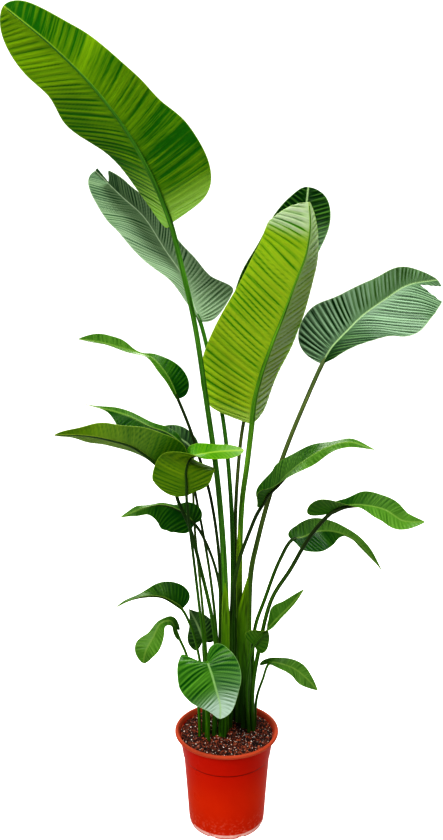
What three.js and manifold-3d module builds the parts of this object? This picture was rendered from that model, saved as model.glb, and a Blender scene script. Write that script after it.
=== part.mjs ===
// A bird of paradise plant (the tall, broad-leaved kind) in a moulded nursery pot.
// Millimetres, +Z up. The origin is the centre of the pot's underside.
//
// Each leaf is one solid: a petiole that stands in a hole in the soil, and a blade that grows
// from it along one smooth curve. Leaves that grew together share a fan at the soil.

import * as THREE from 'three';
import { mergeVertices } from 'three/addons/utils/BufferGeometryUtils.js';
import Module from 'manifold-3d';

const wasm = await Module();
wasm.setup();

// ---- driving dimensions -------------------------------------------------------------------

const POT_HEIGHT = 226;
const RIM_RADIUS = 120;
const FOOT_RADIUS = 87;
const POT_WALL = 2.6;
const RIM_LIP = 9; // height of the rolled lip
const COLLAR_HEIGHT = 60; // from the rim down to the step in the wall
const COLLAR_STEP = 1.6;
const FLOOR_THICKNESS = 3;
const FLOOR_RECESS = 4; // the floor's underside, above what the pot stands on
const FOOT_RING_WIDTH = 7;
const CENTRE_PAD_RADIUS = 24;
const PAD_SLOPE = 2; // how far the pad's side runs out over its height
const FOOT_BAND_TOP = 12; // the foot is a little thicker up to here
const FOOT_BAND = 0.6;
const POT_SIDES = 32;

const DRAIN_HOLES = 8;
const DRAIN_HOLE_RADIUS = 5;
const DRAIN_CIRCLE_RADIUS = 56;
const FOOT_NOTCHES = 8;
const NOTCH_WIDTH = 15;
const NOTCH_HEIGHT = 3.5;

const SOIL_TOP = 216; // mean height of the soil's surface
const SOIL_GAP = 0.4; // between the soil and the pot
const STEM_FOOT = 165; // petioles reach down to here, inside the soil
const STEM_HOLE_GAP = 0.6;

const BLADE_THICKNESS = 1.3;
const PETIOLE_STATIONS = [0, 0.08, 0.18, 0.3, 0.42, 0.55, 0.68, 0.8, 0.9, 1];
// The petiole runs out under the blade at these shares of its length; `sunk` is how far its centre
// lies under the blade and `radius` its radius there, both in neck radii.
const RUN_OUT = [{ s: 0.04, sunk: 0.3, radius: 0.9 }, { s: 0.1, sunk: 0.6, radius: 0.5 }];
const SHEATH_EDGE = 0.8; // thickness at the sheath's two edges
const SHEATH_BACK = 2.6; // and in its middle
const RIB_DEPTH = 1.5; // the midrib's depth under the blade, in petiole radii
const RIB_START = 0.03; // where the midrib has its full depth, along the blade
const RIB_END = 0.9; // where it runs out
const TEAR_REACH = 1.5; // how far a tear's cut goes across the blade, well past the margin
const TEAR_DEPTH = 16; // half the depth of a tear's cut, enough for the blade's waves

// ---- leaves -------------------------------------------------------------------------------

// A leaf's petiole starts at its foot [x, y] in the soil, passes through `stem` and ends at the
// last of those points; its midrib goes on through `rib` to the tip. `faces` says which way the
// blade's upper side looks, in even steps from base to tip. `left` and `right` are the two halves
// of the blade, seen from above with the tip ahead: half widths in even steps, the bluntness of
// the tip [q, r] in (1 - s^q)^r, how far the half folds up from flat in degrees, in even steps,
// and how far its base lobe reaches back past the neck. `radii` are the petiole's at its foot and
// neck, `sweep` leans the side veins' ends towards the tip, `wave` is the height, count and phase
// of the ripples along the margin, and `base` is how squarely the blade starts.

const half = (widths, tip, fold, lobe) => ({ widths, tip, fold, lobe });

const CROWN = { rows: 15, columns: [0.36, 0.7, 1], sides: 8, base: 9, color: 0x4c8a1e };
const MIDDLE = { rows: 13, columns: [0.5, 1], sides: 6, base: 9, color: 0x2f7a1c };
const LOW = { rows: 11, columns: [0.5, 1], sides: 6, base: 9, color: 0x2c6f1a };

const LEAVES = [
  {
    ...CROWN, name: 'leaf_crown_left', foot: [-12, -20], radii: [10.5, 5.2], sweep: 0.3, wave: [4, 3, 0.1],
    stem: [[-2, -20, 430], [-4, -25, 575], [-10, -30, 700], [-22, -40, 840], [-44, -55, 1005],
      [-67, -70, 1165], [-91, -80, 1275], [-113, -90, 1365]],
    rib: [[-135, -110, 1425], [-180, -150, 1515], [-240, -195, 1595], [-310, -240, 1660],
      [-380, -285, 1711]],
    faces: [[0.1, 1, 0.1], [0.3, 1, 0.2], [0.3, 1, 0.4]],
    left: half([105, 114, 114, 105, 84, 80, 75, 72, 71, 80, 100], [3.5, 0.6], [0, 25, 50], -8),
    right: half([90, 80, 89, 112, 95, 110, 125], [3.5, 0.6], [62, 15, 0], 16),
    sheath: { out: [-0.35, -1], rows: [[-12, -24, 180, 10.5], [-8, -25, 300, 10.5], [-4, -26, 430, 10.5],
      [-3, -28, 505, 10], [-4, -30, 555, 7], [-4, -33, 592, 0.8]] },
  },
  {
    ...CROWN, name: 'leaf_crown_back_left', foot: [8, 52], radii: [8, 4.5], sweep: 0.1,
    wave: [2, 3, 0.3],
    stem: [[12, 52, 395], [14, 55, 615], [8, 60, 780], [-10, 75, 950], [-45, 90, 1105], [-60, 95, 1160]],
    rib: [[-75, 105, 1195], [-100, 120, 1260], [-140, 140, 1320], [-190, 165, 1395], [-240, 185, 1440],
      [-303, 210, 1500]],
    faces: [[0.3, -1, 0.1], [0.2, -1, 0.2], [0.3, -1, 0.3]],
    left: half([60, 45, 60, 77, 86, 79, 85], [6, 0.5], [75, 30, 20, 20], 5),
    right: half([70, 105, 58, 50, 55, 66, 64, 62, 62, 56, 50], [6, 0.5], [0, 25, 62, 74, 76, 74], 10),
    tear: { side: 1, apex: [0.9, 0.1], margin: [0.92, 0.996] },
  },
  {
    ...CROWN, name: 'leaf_crown_front', foot: [28, 42], radii: [8.5, 6], sweep: 0.3, wave: [3, 3, 0.6],
    stem: [[30, 40, 425], [30, 40, 645], [35, 35, 765], [45, 30, 845], [55, 20, 940]],
    rib: [[60, 15, 990], [75, 5, 1055], [100, -10, 1130], [120, -25, 1185], [140, -40, 1245],
      [160, -60, 1305], [165, -85, 1360], [160, -105, 1405]],
    faces: [[0.1, 1, 0.1], [0.1, 1, 0.1], [0.2, 1, 0.3]],
    left: half([60, 68, 93, 93, 83, 55, 37], [4, 0.6], [60, 62, 68], -5),
    right: half([120, 134, 128, 114, 104, 104, 120], [8, 0.5], [5, 5, 0], -5),
    sheath: { out: [-0.2, -1], rows: [[28, 36, 480, 7], [28, 35, 600, 6.5], [28, 34, 660, 5],
      [27, 33, 705, 0.8]] },
  },
  {
    ...CROWN, name: 'leaf_crown_back', foot: [24, 64], radii: [8, 4], sweep: 0.3, wave: [4, 3, 0.4],
    stem: [[22, 64, 415], [20, 67, 705], [25, 70, 815], [35, 75, 915], [50, 80, 985]],
    rib: [[80, 85, 1095], [120, 95, 1210], [155, 105, 1330], [175, 115, 1415], [180, 120, 1455]],
    faces: [[0.1, -1, 0.1], [0.1, -1, 0.2], [0.1, -1, 0.3]],
    left: half([80, 100, 110, 112, 95, 84, 68], [5, 0.5], [20, 20, 10], 15),
    right: half([45, 45, 45, 47, 53, 78, 100], [5, 0.5], [30, 30, 10], 15),
  },
  {
    ...CROWN, name: 'leaf_crown_right', foot: [48, 20], radii: [10, 4.8], sweep: 0.3, wave: [4, 3, 0.2],
    stem: [[50, 25, 430], [55, 25, 595], [70, 30, 670], [95, 30, 770], [135, 35, 890], [175, 40, 990],
      [210, 45, 1070]],
    rib: [[230, 50, 1105], [270, 70, 1145], [305, 95, 1175], [360, 125, 1210], [415, 155, 1240],
      [494, 196, 1252]],
    faces: [[-0.2, -1, 0.5], [-0.1, -1, 0.6], [-0.1, -1, 0.9]],
    left: half([84, 96, 70, 66, 62, 54, 38], [4, 0.8], [20, 50, 55], 3),
    right: half([25, 48, 88, 114, 103, 92, 80], [9, 0.5], [35, 5, 0], -5),
    tear: { side: 1, apex: [0.85, 0.1], margin: [0.915, 0.996] },
    sheath: { out: [0.3, -1], rows: [[46, 15, 180, 12], [43, 15, 300, 13], [39, 16, 400, 15],
      [37, 17, 490, 15], [43, 19, 545, 8.5], [49, 21, 588, 0.8]] },
  },
  {
    ...MIDDLE, name: 'leaf_mid_left_upper', foot: [-14, 2], radii: [6, 3.2], sweep: 0.3,
    wave: [2, 3, 0.1],
    stem: [[-15, -7, 420], [-17, -14, 640], [-35, -20, 780], [-50, -25, 840], [-80, -30, 940],
      [-105, -35, 1005]],
    rib: [[-125, -30, 1050], [-160, -20, 1090], [-190, -10, 1100], [-230, 5, 1110], [-275, 20, 1120],
      [-325, 40, 1125]],
    faces: [[0.4, -0.5, 1], [0.2, -0.5, 1], [0.1, -0.8, 1]],
    left: half([12, 20, 14, 18, 14], [3, 0.7], [15, 15, 30], 5),
    right: half([50, 43, 18, 5, 28, 42, 42], [3, 0.7], [10, 20, 10], 5),
  },
  {
    ...MIDDLE, name: 'leaf_mid_left_back', foot: [-28, 6], radii: [5, 3], sweep: 0.3,
    wave: [2, 2, 0.4],
    stem: [[-22, 10, 420], [-37, 18, 585], [-52, 25, 680], [-67, 30, 760], [-78, 30, 825],
      [-90, 25, 880]],
    rib: [[-110, 22, 905], [-135, 30, 920], [-170, 40, 930], [-225, 50, 955], [-318, 70, 976]],
    faces: [[0.3, 0.3, 1], [0.1, -0.6, 1], [0, -0.2, 1]],
    left: half([50, 45, 50, 42, 9, 8], [3, 0.7], [-40, -40, 0], 15),
    right: half([18, 14, 16, 15, 10], [3, 0.7], [30, 10, 10], 5),
  },
  {
    ...MIDDLE, name: 'leaf_mid_left_long', foot: [-30, -16], radii: [6, 3.8], sweep: 0.3,
    wave: [2.5, 3, 0.2],
    stem: [[-25, -28, 430], [-34, -34, 515], [-60, -45, 640], [-80, -55, 725], [-105, -65, 790],
      [-115, -70, 835]],
    rib: [[-140, -80, 865], [-165, -90, 890], [-195, -105, 915], [-230, -120, 930], [-285, -140, 945],
      [-345, -160, 950]],
    faces: [[0.1, 1, 0.6], [0.1, 1, 0.6], [0.1, 0.8, 1]],
    left: half([60, 75, 57, 44, 39, 31, 30], [3, 0.7], [10, 20, 35, 40], 5),
    right: half([30, 25, 30, 43, 50, 48, 48], [3, 0.7], [50, 25, 15], -5),
  },
  {
    ...LOW, name: 'leaf_mid_left_small', foot: [-40, -4], radii: [4.2, 2.8], sweep: 0.3, wave: [1, 2, 0],
    stem: [[-47, 4, 400], [-55, 20, 508], [-64, 36, 598], [-73, 52, 688], [-77, 66, 780], [-78, 70, 856]],
    rib: [[-84, 72, 879], [-104, 74, 895], [-134, 78, 908], [-161, 82, 917]],
    faces: [[0.2, -1, 0.4], [0, -1, 0.5]],
    left: half([18, 30, 30, 20], [3, 0.7], [20, 20], 5),
    right: half([12, 26, 30, 22], [3, 0.7], [10, 10], 5),
  },
  {
    ...MIDDLE, name: 'leaf_mid_front_folded', foot: [-46, -20], radii: [5, 3], sweep: 0.3,
    wave: [1.5, 2, 0.3],
    stem: [[-48, -40, 415], [-60, -55, 540], [-75, -80, 695], [-84, -98, 785], [-85, -102, 810]],
    rib: [[-85, -107, 835], [-85, -110, 870], [-75, -106, 893], [-44, -99, 900], [-5, -92, 903],
      [35, -82, 903]],
    faces: [[0, 1, 0], [0, 1, 0.4], [0, -0.2, 1], [0, -0.7, 1], [0, -0.7, 1]],
    left: half([40, 56, 62, 42, 28, 26, 26], [3, 0.6], [10, 10, 10], -5),
    right: half([62, 74, 60, 32, 30, 34, 32], [3, 0.6], [10, 10, -10], 5),
  },
  {
    ...MIDDLE, name: 'leaf_mid_left_lower', foot: [2, -6], radii: [5, 3.2], sweep: 0.3,
    wave: [2, 3, 0.5],
    stem: [[-3, 1, 425], [-20, 2, 590], [-40, -4, 660], [-60, -11, 705], [-72, -14, 723]],
    rib: [[-87, -15, 742], [-112, -15, 758], [-145, -10, 765], [-190, -10, 755], [-235, -5, 735]],
    faces: [[0.2, -0.5, 1], [0.1, -0.5, 1], [0, -0.5, 1]],
    left: half([50, 54, 57, 46, 20, 18, 12], [3, 0.7], [-50, -60, -20], 10),
    right: half([60, 41, 12, 6, 16, 28, 32], [3, 0.7], [0, -10, -10], 10),
  },
  {
    ...MIDDLE, name: 'leaf_mid_right_arching', foot: [8, 14], radii: [6, 4], sweep: 0.3,
    wave: [2, 3, 0.7],
    stem: [[9, 7, 390], [11, -4, 525], [25, -15, 630], [50, -28, 710], [65, -34, 750], [75, -40, 770]],
    rib: [[85, -45, 795], [105, -60, 820], [130, -80, 854], [165, -105, 890], [205, -130, 920],
      [245, -155, 935], [290, -180, 925]],
    faces: [[-0.3, -0.6, 1], [-0.1, -0.5, 1], [0.1, -0.4, 1]],
    left: half([28, 52, 54, 44, 30, 25, 25], [3, 0.8], [10, 0, -5], 0),
    right: half([30, 40, 35, 30, 20], [3, 0.8], [80, 0, -20], 5),
  },
  {
    ...MIDDLE, name: 'leaf_mid_right_twisted', foot: [64, 11], radii: [6, 4.3], sweep: 0.3,
    wave: [1.5, 2, 0.2], base: 12,
    stem: [[59, -4, 315], [72, -12, 420], [100, -22, 550], [140, -35, 625], [175, -45, 695],
      [203, -55, 738], [222, -61, 760]],
    rib: [[233, -66, 770], [252, -73, 780], [285, -85, 785], [330, -105, 780], [365, -120, 761],
      [405, -140, 765]],
    faces: [[0, 1, 0.4], [-0.1, -0.1, 1], [0, -0.6, 1], [0, -0.6, 1]],
    left: half([40, 20, 34, 32, 34, 32, 20], [3, 0.7], [85, 30, 20], 5),
    right: half([74, 36, 24, 42, 45, 48, 44], [4, 0.6], [0, 10, 20], 36),
  },
  {
    ...MIDDLE, name: 'leaf_mid_right_drooping', foot: [60, 36], radii: [5.8, 4], sweep: 0.3,
    wave: [1.5, 2, 0.6],
    stem: [[60, 42, 330], [66, 40, 455], [88, 40, 525], [120, 42, 615], [150, 50, 665]],
    rib: [[175, 55, 670], [210, 65, 680], [250, 80, 675], [295, 90, 655], [330, 100, 620],
      [370, 110, 570]],
    faces: [[-0.1, -0.8, 1], [0, -0.7, 1], [0.3, -0.5, 1]],
    left: half([38, 40, 25, 22, 12], [3, 0.7], [0, 0, 30], 5),
    right: half([25, 52, 38, 4, 14, 14, 10], [3, 0.7], [-10, 0, 30], 0),
  },
  {
    ...LOW, name: 'leaf_low_left_upper', foot: [-54, -4], radii: [4.5, 3], sweep: 0.3, wave: [1.5, 2, 0.1],
    stem: [[-54, -8, 325], [-64, -15, 415], [-80, -25, 485], [-100, -30, 530]],
    rib: [[-115, -35, 545], [-145, -45, 565], [-185, -60, 570], [-215, -70, 565], [-240, -80, 555]],
    faces: [[0.2, -0.5, 1], [0.1, -0.5, 1], [0, -0.5, 1]],
    left: half([8, 9, 8, 8, 6], [3, 0.7], [60, 60, 60], 5),
    right: half([48, 44, 28, 22, 20], [3, 0.7], [45, 10, -25, -30], 0),
  },
  {
    ...LOW, name: 'leaf_low_left_drooping', foot: [-60, -18], radii: [4.5, 3], sweep: 0.3,
    wave: [1, 2, 0.4],
    stem: [[-68, -26, 330], [-92, -38, 430], [-105, -44, 465], [-115, -50, 495]],
    rib: [[-125, -60, 515], [-145, -75, 515], [-160, -90, 490], [-175, -105, 465], [-180, -110, 440]],
    faces: [[0.5, -0.5, 1], [-0.3, -0.8, 0.6], [-0.5, -0.9, 0.3]],
    left: half([30, 12, 26, 38, 30], [4, 0.6], [10, 10, 20], 26),
    right: half([25, 8, 14, 34, 32], [4, 0.6], [10, 10, 20], 20),
  },
  {
    ...LOW, name: 'leaf_low_back', foot: [-46, 10], radii: [4.2, 2.6], sweep: 0.3, wave: [1, 2, 0.8],
    stem: [[-50, 26, 320], [-55, 36, 405], [-55, 38, 425]],
    rib: [[-60, 40, 440], [-70, 44, 465], [-88, 50, 497]],
    faces: [[0, -1, 0.2], [0.1, -1, 0.2]],
    left: half([42, 24, 12], [2, 0.8], [0, 0], 22),
    right: half([38, 38, 22], [2, 0.8], [0, 0], 10),
  },
  {
    ...LOW, name: 'leaf_low_front_heart', foot: [-38, -34], radii: [4.8, 3], sweep: 0.3,
    wave: [2, 2, 0.2], base: 7,
    stem: [[-46, -55, 300], [-50, -72, 370], [-50, -90, 420], [-43, -99, 438]],
    rib: [[-39, -107, 431], [-33, -114, 417], [-25, -125, 392], [-15, -130, 355], [-15, -130, 322]],
    faces: [[0.1, -1, 0.6], [0, -1, 0.4]],
    left: half([66, 62, 46, 36], [3, 0.62], [10, 10], 32),
    right: half([82, 74, 48, 32], [3, 0.62], [10, 10], 36),
  },
  {
    ...LOW, name: 'leaf_low_right_twisted', foot: [56, 2], radii: [4.5, 3.2], sweep: 0.3,
    wave: [1, 2, 0.5],
    stem: [[46, -14, 315], [50, -30, 400], [61, -47, 452]],
    rib: [[76, -53, 477], [92, -57, 498], [112, -59, 522], [138, -61, 550], [168, -64, 590]],
    faces: [[0.3, 1, 0.2], [0, -0.6, 1], [0, -0.6, 1]],
    left: half([45, 24, 12, 30, 25, 20, 15], [3, 0.7], [10, 10], 16),
    right: half([46, 24, 12, 8, 8, 8, 6], [3, 0.7], [10, 10], 0),
  },
  {
    ...LOW, name: 'leaf_low_right_drooping', foot: [66, 24], radii: [4.5, 2.8], sweep: 0.3,
    wave: [1, 2, 0.3],
    stem: [[70, 24, 285], [84, 22, 335], [100, 15, 380]],
    rib: [[125, 10, 380], [160, 10, 365], [185, 5, 345], [210, 0, 320]],
    faces: [[0, -0.6, 1], [0, -0.6, 1]],
    left: half([8, 20, 22, 12], [3, 0.7], [10, 10], 28),
    right: half([8, 22, 32, 22], [3, 0.7], [10, 10], 5),
  },
];

// ---- solids -------------------------------------------------------------------------------

const vector = (point) => new THREE.Vector3(...point);
const radians = THREE.MathUtils.degToRad;

// A closed geometry as a solid, with its faces turned outwards.
function solid(geometry) {
  const plain = new THREE.BufferGeometry();
  plain.setAttribute('position', geometry.getAttribute('position'));
  plain.setIndex(geometry.getIndex());
  const merged = mergeVertices(plain, 1e-4);
  const position = merged.getAttribute('position');
  const index = Array.from(merged.getIndex().array);
  const corners = [0, 1, 2].map(() => new THREE.Vector3());
  const triangles = [];
  let volume = 0;
  for (let i = 0; i < index.length; i += 3) {
    const [a, b, c] = index.slice(i, i + 3);
    if (a === b || b === c || c === a) continue;
    triangles.push([a, b, c]);
    corners.forEach((corner, k) => corner.fromBufferAttribute(position, [a, b, c][k]));
    volume += corners[0].dot(corners[1].cross(corners[2]));
  }
  const outwards = volume > 0 ? triangles : triangles.map(([a, b, c]) => [a, c, b]);
  return new wasm.Manifold(new wasm.Mesh({
    numProp: 3,
    vertProperties: new Float32Array(position.array),
    triVerts: new Uint32Array(outwards.flat()),
  }));
}

// A solid as a named, coloured mesh.
function piece(name, body, color, roughness) {
  const { vertProperties, triVerts } = body.getMesh();
  const geometry = new THREE.BufferGeometry();
  geometry.setAttribute('position', new THREE.BufferAttribute(vertProperties, 3));
  geometry.setIndex(new THREE.BufferAttribute(triVerts, 1));
  geometry.computeVertexNormals();
  const material = new THREE.MeshStandardMaterial({ color, roughness, metalness: 0 });
  const mesh = new THREE.Mesh(geometry, material);
  mesh.name = name;
  return mesh;
}

function geometryFrom(points, triangles) {
  const geometry = new THREE.BufferGeometry();
  const values = points.flatMap((point) => point.toArray());
  geometry.setAttribute('position', new THREE.Float32BufferAttribute(values, 3));
  geometry.setIndex(triangles.flat());
  return geometry;
}

// Skin over a row of closed rings with the same number of points, capped at both ends.
function loft(rings) {
  const count = rings[0].length;
  const points = rings.flat();
  const triangles = [];
  for (let ring = 0; ring + 1 < rings.length; ring += 1) {
    for (let k = 0; k < count; k += 1) {
      const a = ring * count + k;
      const b = ring * count + ((k + 1) % count);
      triangles.push([a, b, b + count], [a, b + count, a + count]);
    }
  }
  const last = (rings.length - 1) * count;
  for (let near = 0, far = count - 1; near + 1 < far; near += 1, far -= 1) {
    for (const [a, b, c] of [[near, near + 1, far], [near + 1, far - 1, far]]) {
      if (a !== b && b !== c) triangles.push([a, c, b], [last + a, last + b, last + c]);
    }
  }
  return solid(geometryFrom(points, triangles));
}

// ---- leaf curves --------------------------------------------------------------------------

// A smooth value between evenly spaced keys, at t from 0 to 1.
function along(keys, t) {
  const last = keys.length - 1;
  const x = Math.min(Math.max(t * last, 0), last - 1e-9);
  const i = Math.floor(x);
  const f = x - i;
  const before = i > 0 ? keys[i - 1] : 2 * keys[0] - keys[1];
  const after = i + 2 <= last ? keys[i + 2] : 2 * keys[last] - keys[last - 1];
  const m1 = (keys[i + 1] - before) / 2;
  const m2 = (after - keys[i]) / 2;
  const g = f * f * (3 - 2 * f);
  return (1 - g) * keys[i] + g * keys[i + 1] + f * (1 - f) * ((1 - f) * m1 - f * m2);
}

// The stretch of a curve between two of its parameters, read by its share of that length.
function stretch(curve, from, to, steps = 240) {
  const points = [];
  const travelled = [0];
  for (let k = 0; k <= steps; k += 1) {
    points.push(curve.getPoint(from + ((to - from) * k) / steps));
    if (k > 0) travelled.push(travelled[k - 1] + points[k].distanceTo(points[k - 1]));
  }
  const length = travelled[steps];
  const at = (share) => {
    const target = Math.min(Math.max(share, 0), 1) * length;
    let k = 1;
    while (k < steps && travelled[k] < target) k += 1;
    const f = (target - travelled[k - 1]) / (travelled[k] - travelled[k - 1]);
    return points[k - 1].clone().lerp(points[k], f);
  };
  const heading = (share) => at(Math.min(share + 0.01, 1)).sub(at(Math.max(share - 0.01, 0))).normalize();
  return { at, heading, length };
}

function leafLines(leaf) {
  const points = [vector([...leaf.foot, STEM_FOOT]), ...leaf.stem.map(vector), ...leaf.rib.map(vector)];
  const curve = new THREE.CatmullRomCurve3(points, false, 'centripetal');
  const neck = leaf.stem.length / (points.length - 1);
  return { petiole: stretch(curve, 0, neck), rib: stretch(curve, neck, 1) };
}

// Forward, rightward and upward directions of the blade at s.
function bladeFrame(leaf, rib, s) {
  const forward = rib.heading(s);
  const up = new THREE.Vector3(...[0, 1, 2].map((axis) => along(leaf.faces.map((face) => face[axis]), s)));
  up.addScaledVector(forward, -up.dot(forward)).normalize();
  return { forward, up, right: new THREE.Vector3().crossVectors(forward, up) };
}

// A point of the blade: s runs from neck to tip, u from the midrib (0) to the margin (1).
function bladePoint(leaf, rib, s, side, u) {
  const { forward, up, right } = bladeFrame(leaf, rib, s);
  const shape = side < 0 ? leaf.left : leaf.right;
  const rise = Math.sqrt(Math.max(0, 1 - (1 - s) ** (2 * leaf.base)));
  const [q, r] = shape.tip;
  const width = along(shape.widths, s) * rise * Math.max(0, 1 - s ** q) ** r;
  const fold = radians(along(shape.fold, s));
  const sweep = -shape.lobe * Math.sin(Math.PI * rise) + leaf.sweep * width * s * (1 - s ** 4);
  const [height, count, phase] = leaf.wave;
  const ripple = height * u * u * Math.min(1, 4 * s, 4 * (1 - s))
    * Math.sin(2 * Math.PI * (count * s + phase + (side > 0 ? 0.37 : 0)));
  return rib.at(s)
    .addScaledVector(forward, sweep * u ** 1.4)
    .addScaledVector(right, side * width * u * Math.cos(fold))
    .addScaledVector(up, width * u * Math.sin(fold) + ripple);
}

const neckwards = (t) => (0.75 * (0.5 - 0.5 * Math.cos(Math.PI * t)) + 0.25 * t) ** 1.25;

// ---- leaf solids --------------------------------------------------------------------------

// The blade as a thin slab with a ridge under its midrib. Both faces are cut into the same
// triangles, so the slab keeps its thickness wherever it folds or waves.
function bladeSolid(leaf, rib) {
  const { rows, columns } = leaf;
  const ribRadius = leaf.radii[1];
  const shares = [...columns.map((u) => -u).reverse(), null, 0, null, ...columns];
  const middle = columns.length + 1;
  const grid = [];
  for (let row = 0; row <= rows; row += 1) {
    const s = neckwards(row / rows);
    const shoulder = Math.min(0.3, ribRadius / Math.max(1, along(leaf.left.widths, s)));
    grid.push(shares.map((share, column) => {
      const u = share === null ? (column < middle ? -shoulder : shoulder) : share;
      if (row === 0 || row === rows) return rib.at(s);
      return bladePoint(leaf, rib, s, Math.sign(u) || 1, Math.abs(u));
    }));
  }
  const width = shares.length;
  const normals = grid.map((line, row) => line.map((point, column) => {
    if (row === 0 || row === rows) return bladeFrame(leaf, rib, row / rows).up;
    const [before, after] = [grid[Math.max(row - 1, 1)], grid[Math.min(row + 1, rows - 1)]];
    const lengthwise = after[column].clone().sub(before[column]);
    const across = line[Math.min(column + 1, width - 1)].clone().sub(line[Math.max(column - 1, 0)]);
    return across.cross(lengthwise).normalize();
  }));
  const top = [];
  const bottom = [];
  for (let row = 0; row <= rows; row += 1) {
    const s = neckwards(row / rows);
    const ridge = RIB_DEPTH * ribRadius * Math.min(1, s / RIB_START) * Math.max(0, 1 - s / RIB_END) ** 0.8;
    for (let column = 0; column < width; column += 1) {
      const point = grid[row][column];
      const normal = normals[row][column];
      const depth = BLADE_THICKNESS / 2 + (column === middle ? ridge : 0);
      top.push(point.clone().addScaledVector(normal, BLADE_THICKNESS / 2));
      bottom.push(point.clone().addScaledVector(normal, -depth));
    }
  }
  const end = width - 1;
  const lower = top.length;
  const at = (row, column) => {
    if (row === 0 || row === rows) return row * width + middle;
    return row * width + column;
  };
  const triangles = [];
  const addBoth = (a, b, c) => {
    if (a === b || b === c || c === a) return;
    triangles.push([a, b, c], [a + lower, c + lower, b + lower]);
  };
  for (let row = 0; row < rows; row += 1) {
    for (let column = 0; column < end; column += 1) {
      addBoth(at(row, column), at(row, column + 1), at(row + 1, column + 1));
      addBoth(at(row, column), at(row + 1, column + 1), at(row + 1, column));
    }
    const margins = [[at(row, 0), at(row + 1, 0)], [at(row + 1, end), at(row, end)]];
    for (const [a, b] of margins) {
      triangles.push([a, b, b + lower], [a, b + lower, a + lower]);
    }
  }
  return solid(geometryFrom([...top, ...bottom], triangles));
}

// A tear runs in from the margin, between two shares of the blade's length, to its apex [s, u],
// as wind and handling leave them. It is a wedge, thick enough to pass through the whole blade.
function tearSolid(leaf, rib, { side, apex, margin }) {
  const marks = [apex, ...margin.map((s) => [s, TEAR_REACH])];
  const corners = marks.map(([s, u]) => bladePoint(leaf, rib, s, side, u));
  const edges = [1, 2].map((k) => corners[k].clone().sub(corners[0]));
  const normal = edges[0].cross(edges[1]).normalize();
  const face = (shift) => corners.map((corner) => corner.clone().addScaledVector(normal, shift));
  return loft([face(-TEAR_DEPTH), face(TEAR_DEPTH)]);
}

// A round tube through stations of { centre, heading, radius }.
function tube(stations, sides) {
  const side = new THREE.Vector3(1, 0, 0);
  return loft(stations.map(({ centre, heading, radius }) => {
    side.addScaledVector(heading, -side.dot(heading)).normalize();
    const other = new THREE.Vector3().crossVectors(heading, side);
    return Array.from({ length: sides }, (_, k) => {
      const turn = (2 * Math.PI * (k + 0.5)) / sides;
      return centre.clone()
        .addScaledVector(side, radius * Math.cos(turn))
        .addScaledVector(other, radius * Math.sin(turn));
    });
  }));
}

function petioleStation(leaf, petiole, t, grow = 0) {
  const [footRadius, neckRadius] = leaf.radii;
  const radius = grow + neckRadius + (footRadius - neckRadius) * (1 - t) ** 2.2;
  return { centre: petiole.at(t), heading: petiole.heading(t), radius };
}

// The petiole, round and tapering, runs out under the first part of the midrib.
function petioleSolid(leaf, { petiole, rib }) {
  const stations = PETIOLE_STATIONS.map((t) => petioleStation(leaf, petiole, t));
  const neckRadius = leaf.radii[1];
  for (const { s, sunk, radius } of RUN_OUT) {
    const { forward, up } = bladeFrame(leaf, rib, s);
    const centre = rib.at(s).addScaledVector(up, -sunk * neckRadius);
    stations.push({ centre, heading: forward, radius: radius * neckRadius });
  }
  return tube(stations, leaf.sides);
}

// The hole that the petiole stands in: the same tube, a little wider and deeper.
function stemHole(leaf) {
  const { petiole } = leafLines(leaf);
  const stations = [0, 1].map((above) => {
    const t = (above * (SOIL_TOP + 12 - STEM_FOOT)) / petiole.length;
    return petioleStation(leaf, petiole, t, STEM_HOLE_GAP);
  });
  stations[0].centre.z -= STEM_HOLE_GAP;
  const hole = tube(stations, leaf.sides);
  return leaf.sheath ? hole.add(sheathSolid(leaf.sheath, STEM_HOLE_GAP)) : hole;
}

// The sheath: an open channel round the petiole's foot that narrows to a point. Each of its rows
// is [x, y, z, half width]; `out` points to its rounded side.
function sheathSolid({ out, rows }, grow = 0) {
  const outward = new THREE.Vector3(out[0], out[1], 0).normalize();
  const across = new THREE.Vector3(-outward.y, outward.x, 0);
  const steps = [-1, -0.5, 0, 0.5, 1];
  return loft(rows.map(([x, y, z, width]) => {
    const point = (step, inset) => new THREE.Vector3(x, y, z - grow)
      .addScaledVector(across, (width + grow) * step)
      .addScaledVector(outward, 0.5 * width * (1 - step * step) - inset);
    const thickness = (step) => SHEATH_BACK + (SHEATH_EDGE - SHEATH_BACK) * step * step;
    return [
      ...steps.map((step) => point(step, -grow)),
      ...steps.toReversed().map((step) => point(step, thickness(step) + grow)),
    ];
  }));
}

function leafSolid(leaf) {
  const lines = leafLines(leaf);
  let body = bladeSolid(leaf, lines.rib).add(petioleSolid(leaf, lines));
  if (leaf.sheath) body = body.add(sheathSolid(leaf.sheath));
  if (leaf.tear) body = body.subtract(tearSolid(leaf, lines.rib, leaf.tear));
  return body;
}

// ---- pot ----------------------------------------------------------------------------------

const COLLAR_BOTTOM = POT_HEIGHT - COLLAR_HEIGHT;
const BODY_TOP_RADIUS = 99.5;
const COLLAR_TOP_RADIUS = 109.5;
const LIP_BOTTOM = POT_HEIGHT - RIM_LIP;
const FLOOR_TOP = FLOOR_RECESS + FLOOR_THICKNESS;

// The wall's outer radius at a height, below the rim's lip.
function wallRadius(z) {
  if (z < COLLAR_BOTTOM) return THREE.MathUtils.lerp(FOOT_RADIUS, BODY_TOP_RADIUS, z / COLLAR_BOTTOM);
  const share = (z - COLLAR_BOTTOM) / (LIP_BOTTOM - COLLAR_BOTTOM);
  return THREE.MathUtils.lerp(BODY_TOP_RADIUS + COLLAR_STEP, COLLAR_TOP_RADIUS, share);
}

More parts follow.
